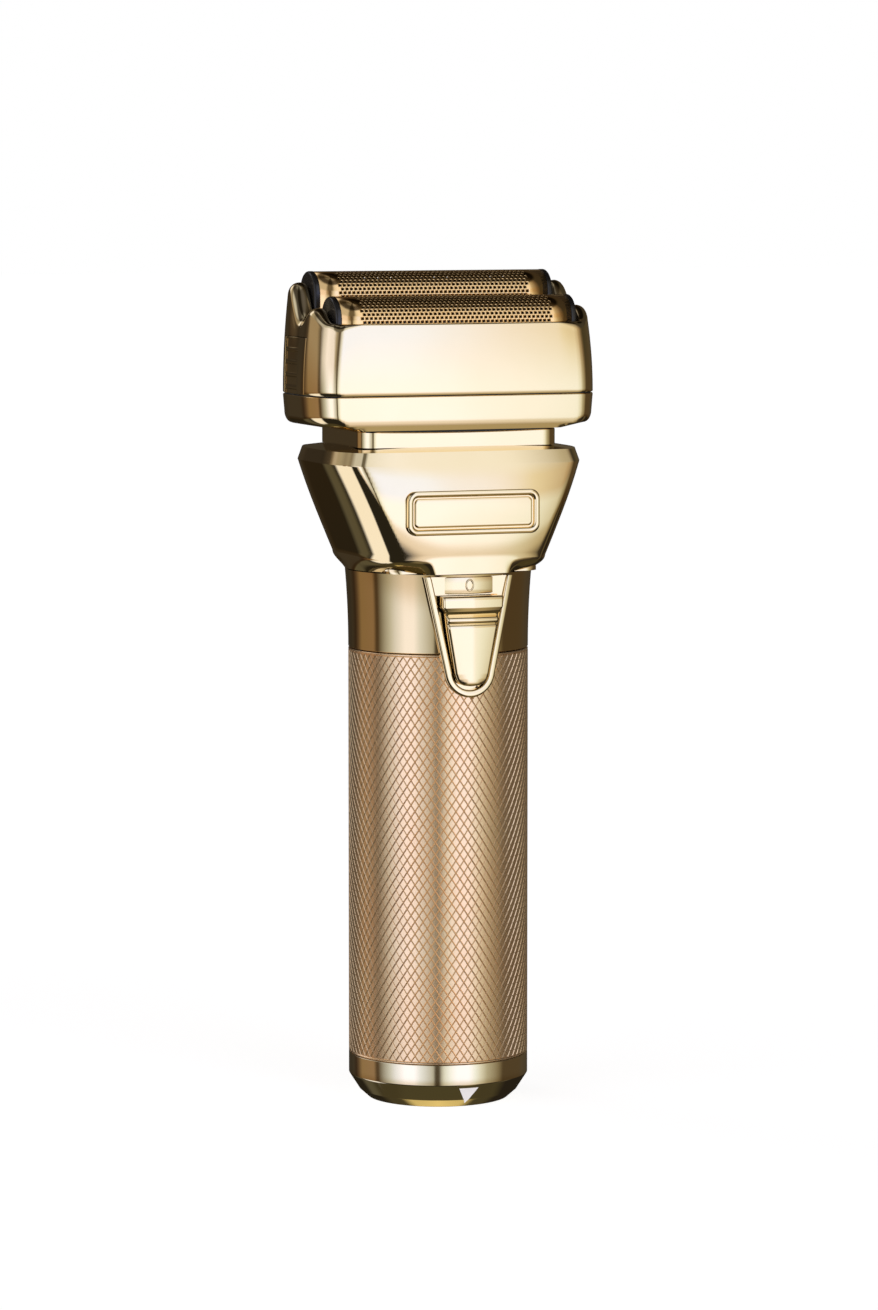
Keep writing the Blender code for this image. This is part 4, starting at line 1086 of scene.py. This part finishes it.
UPPER_STUDIO = [
    (-180, 5, 4, 2.5), (-150, 4.5, 3.5, 2.5), (-138, 3, 2.4, 1.8), (-124, 7, 5.5, 4), (-116, 35, 28, 20),
    (-92, 35, 28, 20), (-84, 10, 8, 6), (-76, 70, 70, 80), (-60, 100, 100, 125), (-24, 90, 90, 110),
    (-16, 45, 40, 33), (-4, 10, 8, 6), (4, 15, 13, 10), (16, 80, 85, 100), (28, 100, 115, 180),
    (39, 100, 115, 175), (43, 98, 100, 125), (48, 84, 79, 68), (60, 50, 40, 28), (82, 18, 13, 8),
    (96, 6, 5, 3), (180, 10, 8, 5),
]
HIGH_STUDIO = [
    (-180, 4, 3, 2), (-152, 8, 6, 4), (-140, 25, 22, 18), (-131, 100, 100, 110), (-118, 100, 100, 110),
    (-110, 45, 42, 36), (-90, 25, 22, 18), (-70, 60, 62, 68), (-22, 60, 62, 68), (-12, 15, 14, 12),
    (12, 15, 14, 12), (24, 80, 84, 95), (36, 100, 105, 130), (46, 95, 98, 110), (58, 50, 47, 40),
    (80, 20, 16, 12), (96, 5, 4.5, 3.5), (180, 4, 3, 2),
]
# Each ring takes over from the one under it between two elevations, in degrees
RINGS = [(FLOOR_STUDIO, -64.0, -58.0), (LOW_STUDIO, -48.0, -40.0), (MID_STUDIO, -17.5, -14.5),
         (UPPER_STUDIO, -2.0, 5.0), (HIGH_STUDIO, 15.0, 22.0)]
# How many hundredths of the rings' red, green and blue come through at an elevation in degrees
TIERS = [
    (-90, 100, 100, 100), (-18, 100, 100, 100), (-16, 72, 62, 47), (-12.5, 76, 68, 55),
    (-10.5, 100, 100, 100), (44, 100, 100, 100), (52, 12, 11, 10), (67, 10, 9, 8), (75, 28, 27, 25),
    (90, 30, 29, 27),
]


def make_world():
    """A white room for the camera, and rings of soft light for everything else."""
    world = bpy.data.worlds.new("studio")
    bpy.context.scene.world = world
    world.use_nodes = True
    nodes, links = world.node_tree.nodes, world.node_tree.links
    nodes.clear()
    coordinates = nodes.new("ShaderNodeTexCoord")

    def dot(axis):
        node = nodes.new("ShaderNodeVectorMath")
        node.operation = "DOT_PRODUCT"
        node.inputs[1].default_value = axis
        links.new(coordinates.outputs["Generated"], node.inputs[0])
        return node.outputs["Value"]

    def maths(operation, first, second=None, value=None):
        node = nodes.new("ShaderNodeMath")
        node.operation = operation
        links.new(first, node.inputs[0])
        if second:
            links.new(second, node.inputs[1])
        if value:
            node.inputs[1].default_value = value
        return node.outputs["Value"]

    right = (math.cos(VIEW_AROUND), -math.sin(VIEW_AROUND), 0.0)
    towards = (-math.sin(VIEW_AROUND), -math.cos(VIEW_AROUND), 0.0)
    around = maths("ARCTAN2", dot(right), dot(towards))
    around = maths("MULTIPLY_ADD", around, value=1.0 / TAU)
    around.node.inputs[2].default_value = 0.5
    height = maths("ARCSINE", dot((0.0, 0.0, 1.0)))
    height = maths("MULTIPLY_ADD", height, value=1.0 / math.pi)
    height.node.inputs[2].default_value = 0.5

    def placed(source, rows, full):
        stops = [(angle / full + 0.5, [level / 100.0 for level in light]) for angle, *light in rows]
        return ramp(nodes, links, source, stops)

    def mixed(kind, factor, first, second):
        node = nodes.new("ShaderNodeMix")
        node.data_type = "RGBA"
        node.blend_type = kind
        node.inputs["Factor"].default_value = 1.0
        if factor:
            links.new(factor, node.inputs["Factor"])
        links.new(first, node.inputs["A"])
        links.new(second, node.inputs["B"])
        return node.outputs["Result"]

    whole = placed(around, BOTTOM_STUDIO, 360.0)
    for rows, low, high in RINGS:
        change = placed(height, [(low, 0, 0, 0), (high, 100, 100, 100)], 180.0)
        whole = mixed("MIX", change, whole, placed(around, rows, 360.0))
    product = mixed("MULTIPLY", None, whole, placed(height, TIERS, 180.0))
    studio = nodes.new("ShaderNodeBackground")
    links.new(product, studio.inputs["Color"])
    white = nodes.new("ShaderNodeBackground")
    white.inputs["Color"].default_value = (1.0, 1.0, 1.0, 1.0)
    rays = nodes.new("ShaderNodeLightPath")
    choose = nodes.new("ShaderNodeMixShader")
    links.new(rays.outputs["Is Camera Ray"], choose.inputs["Fac"])
    links.new(studio.outputs["Background"], choose.inputs[1])
    links.new(white.outputs["Background"], choose.inputs[2])
    out = nodes.new("ShaderNodeOutputWorld")
    links.new(choose.outputs["Shader"], out.inputs["Surface"])


def make_floor():
    """A pale floor with its own faint glow, so that only the contact shadow shows."""
    half = 6.0
    mesh = bpy.data.meshes.new("floor")
    mesh.from_pydata([(-half, -half, 0.0), (half, -half, 0.0), (half, half, 0.0), (-half, half, 0.0)], [],
                     [(0, 1, 2, 3)])
    floor = new_object("floor", mesh)
    floor.location.z = -0.05 * MM
    mat, _, _, shader = new_material("floor")
    white, grey = (1.0, 1.0, 1.0, 1.0), (0.6, 0.6, 0.6, 1.0)
    for field, value in (("Base Color", grey), ("Roughness", 0.9), ("Specular IOR Level", 0.0),
                         ("Emission Color", white), ("Emission Strength", 0.88)):
        shader.inputs[field].default_value = value
    mesh.materials.append(mat)
    floor.visible_glossy = False


def make_camera():
    """In front of the shaver, round to its left and a little above its middle."""
    data = bpy.data.cameras.new("camera")
    data.lens = LENS
    data.sensor_width = SENSOR
    data.clip_start = 0.01
    camera = new_object("camera", data)
    away = Vector((-math.sin(VIEW_AROUND) * math.cos(VIEW_DOWN), -math.cos(VIEW_AROUND) * math.cos(VIEW_DOWN),
                   math.sin(VIEW_DOWN)))
    camera.location = VIEW_TARGET + away * VIEW_DISTANCE
    camera.rotation_euler = (-away).to_track_quat("-Z", "Y").to_euler()
    bpy.context.scene.camera = camera
    bpy.context.scene.view_settings.view_transform = "Standard"


# The finish of each CAD node that is shown as it is
CAD_FINISHES = {
    "black_plastic": ["base_cap", "slide_switch"],
    "grey_plastic": ["chassis", "motor_plate", "drive_bridge"],
    "steel": ["charging_socket", "battery_spring_lower", "battery_spring_upper", "motor_can", "motor_rotor",
              "motor_screw_left", "motor_screw_right", "guide_rod_front", "guide_rod_rear",
              "cutter_spring_front", "cutter_spring_rear", "button_spring_left", "button_spring_right"],
    # Painted shade: the cutters' steel is darkened so that the foils' cells read black
    "steel_darkened_for_shade": ["cutter_front", "cutter_rear"],
    "contact": ["charging_contact_left", "charging_contact_right"],
    "board": ["base_board", "control_board"],
    "wrap": ["battery_cell"],
    "rubber": ["base_o_ring", "head_gasket"],
}


def finish_cad_nodes(nodes, mat):
    for finish, names in CAD_FINISHES.items():
        for name in names:
            slots = nodes[name].data.materials
            slots.clear()
            slots.append(mat[finish])


def build():
    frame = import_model()
    mat = make_materials()
    make_camera()
    make_world()
    make_floor()
    finish_cad_nodes(frame["nodes"], mat)
    make_base_ring(mat)
    make_charge_mark(mat)
    make_grip(mat)
    make_collar(mat)
    make_bezel(mat)
    make_nought(mat)
    make_slider(mat)
    make_neck(mat)
    make_badge(mat)
    make_head_tray(mat)
    make_seam_and_crease_shade(mat)
    make_cap(mat)
    for place, side in (("left", -1), ("right", 1)):
        make_press_pad(mat, place, side)
    for place, y, axis in (("front", -FOIL_Y, FOIL_AXIS_FRONT), ("rear", FOIL_Y, FOIL_AXIS_REAR)):
        make_foil(mat, place, y, axis)
        make_foil_ends(mat, place, y, axis)


build()
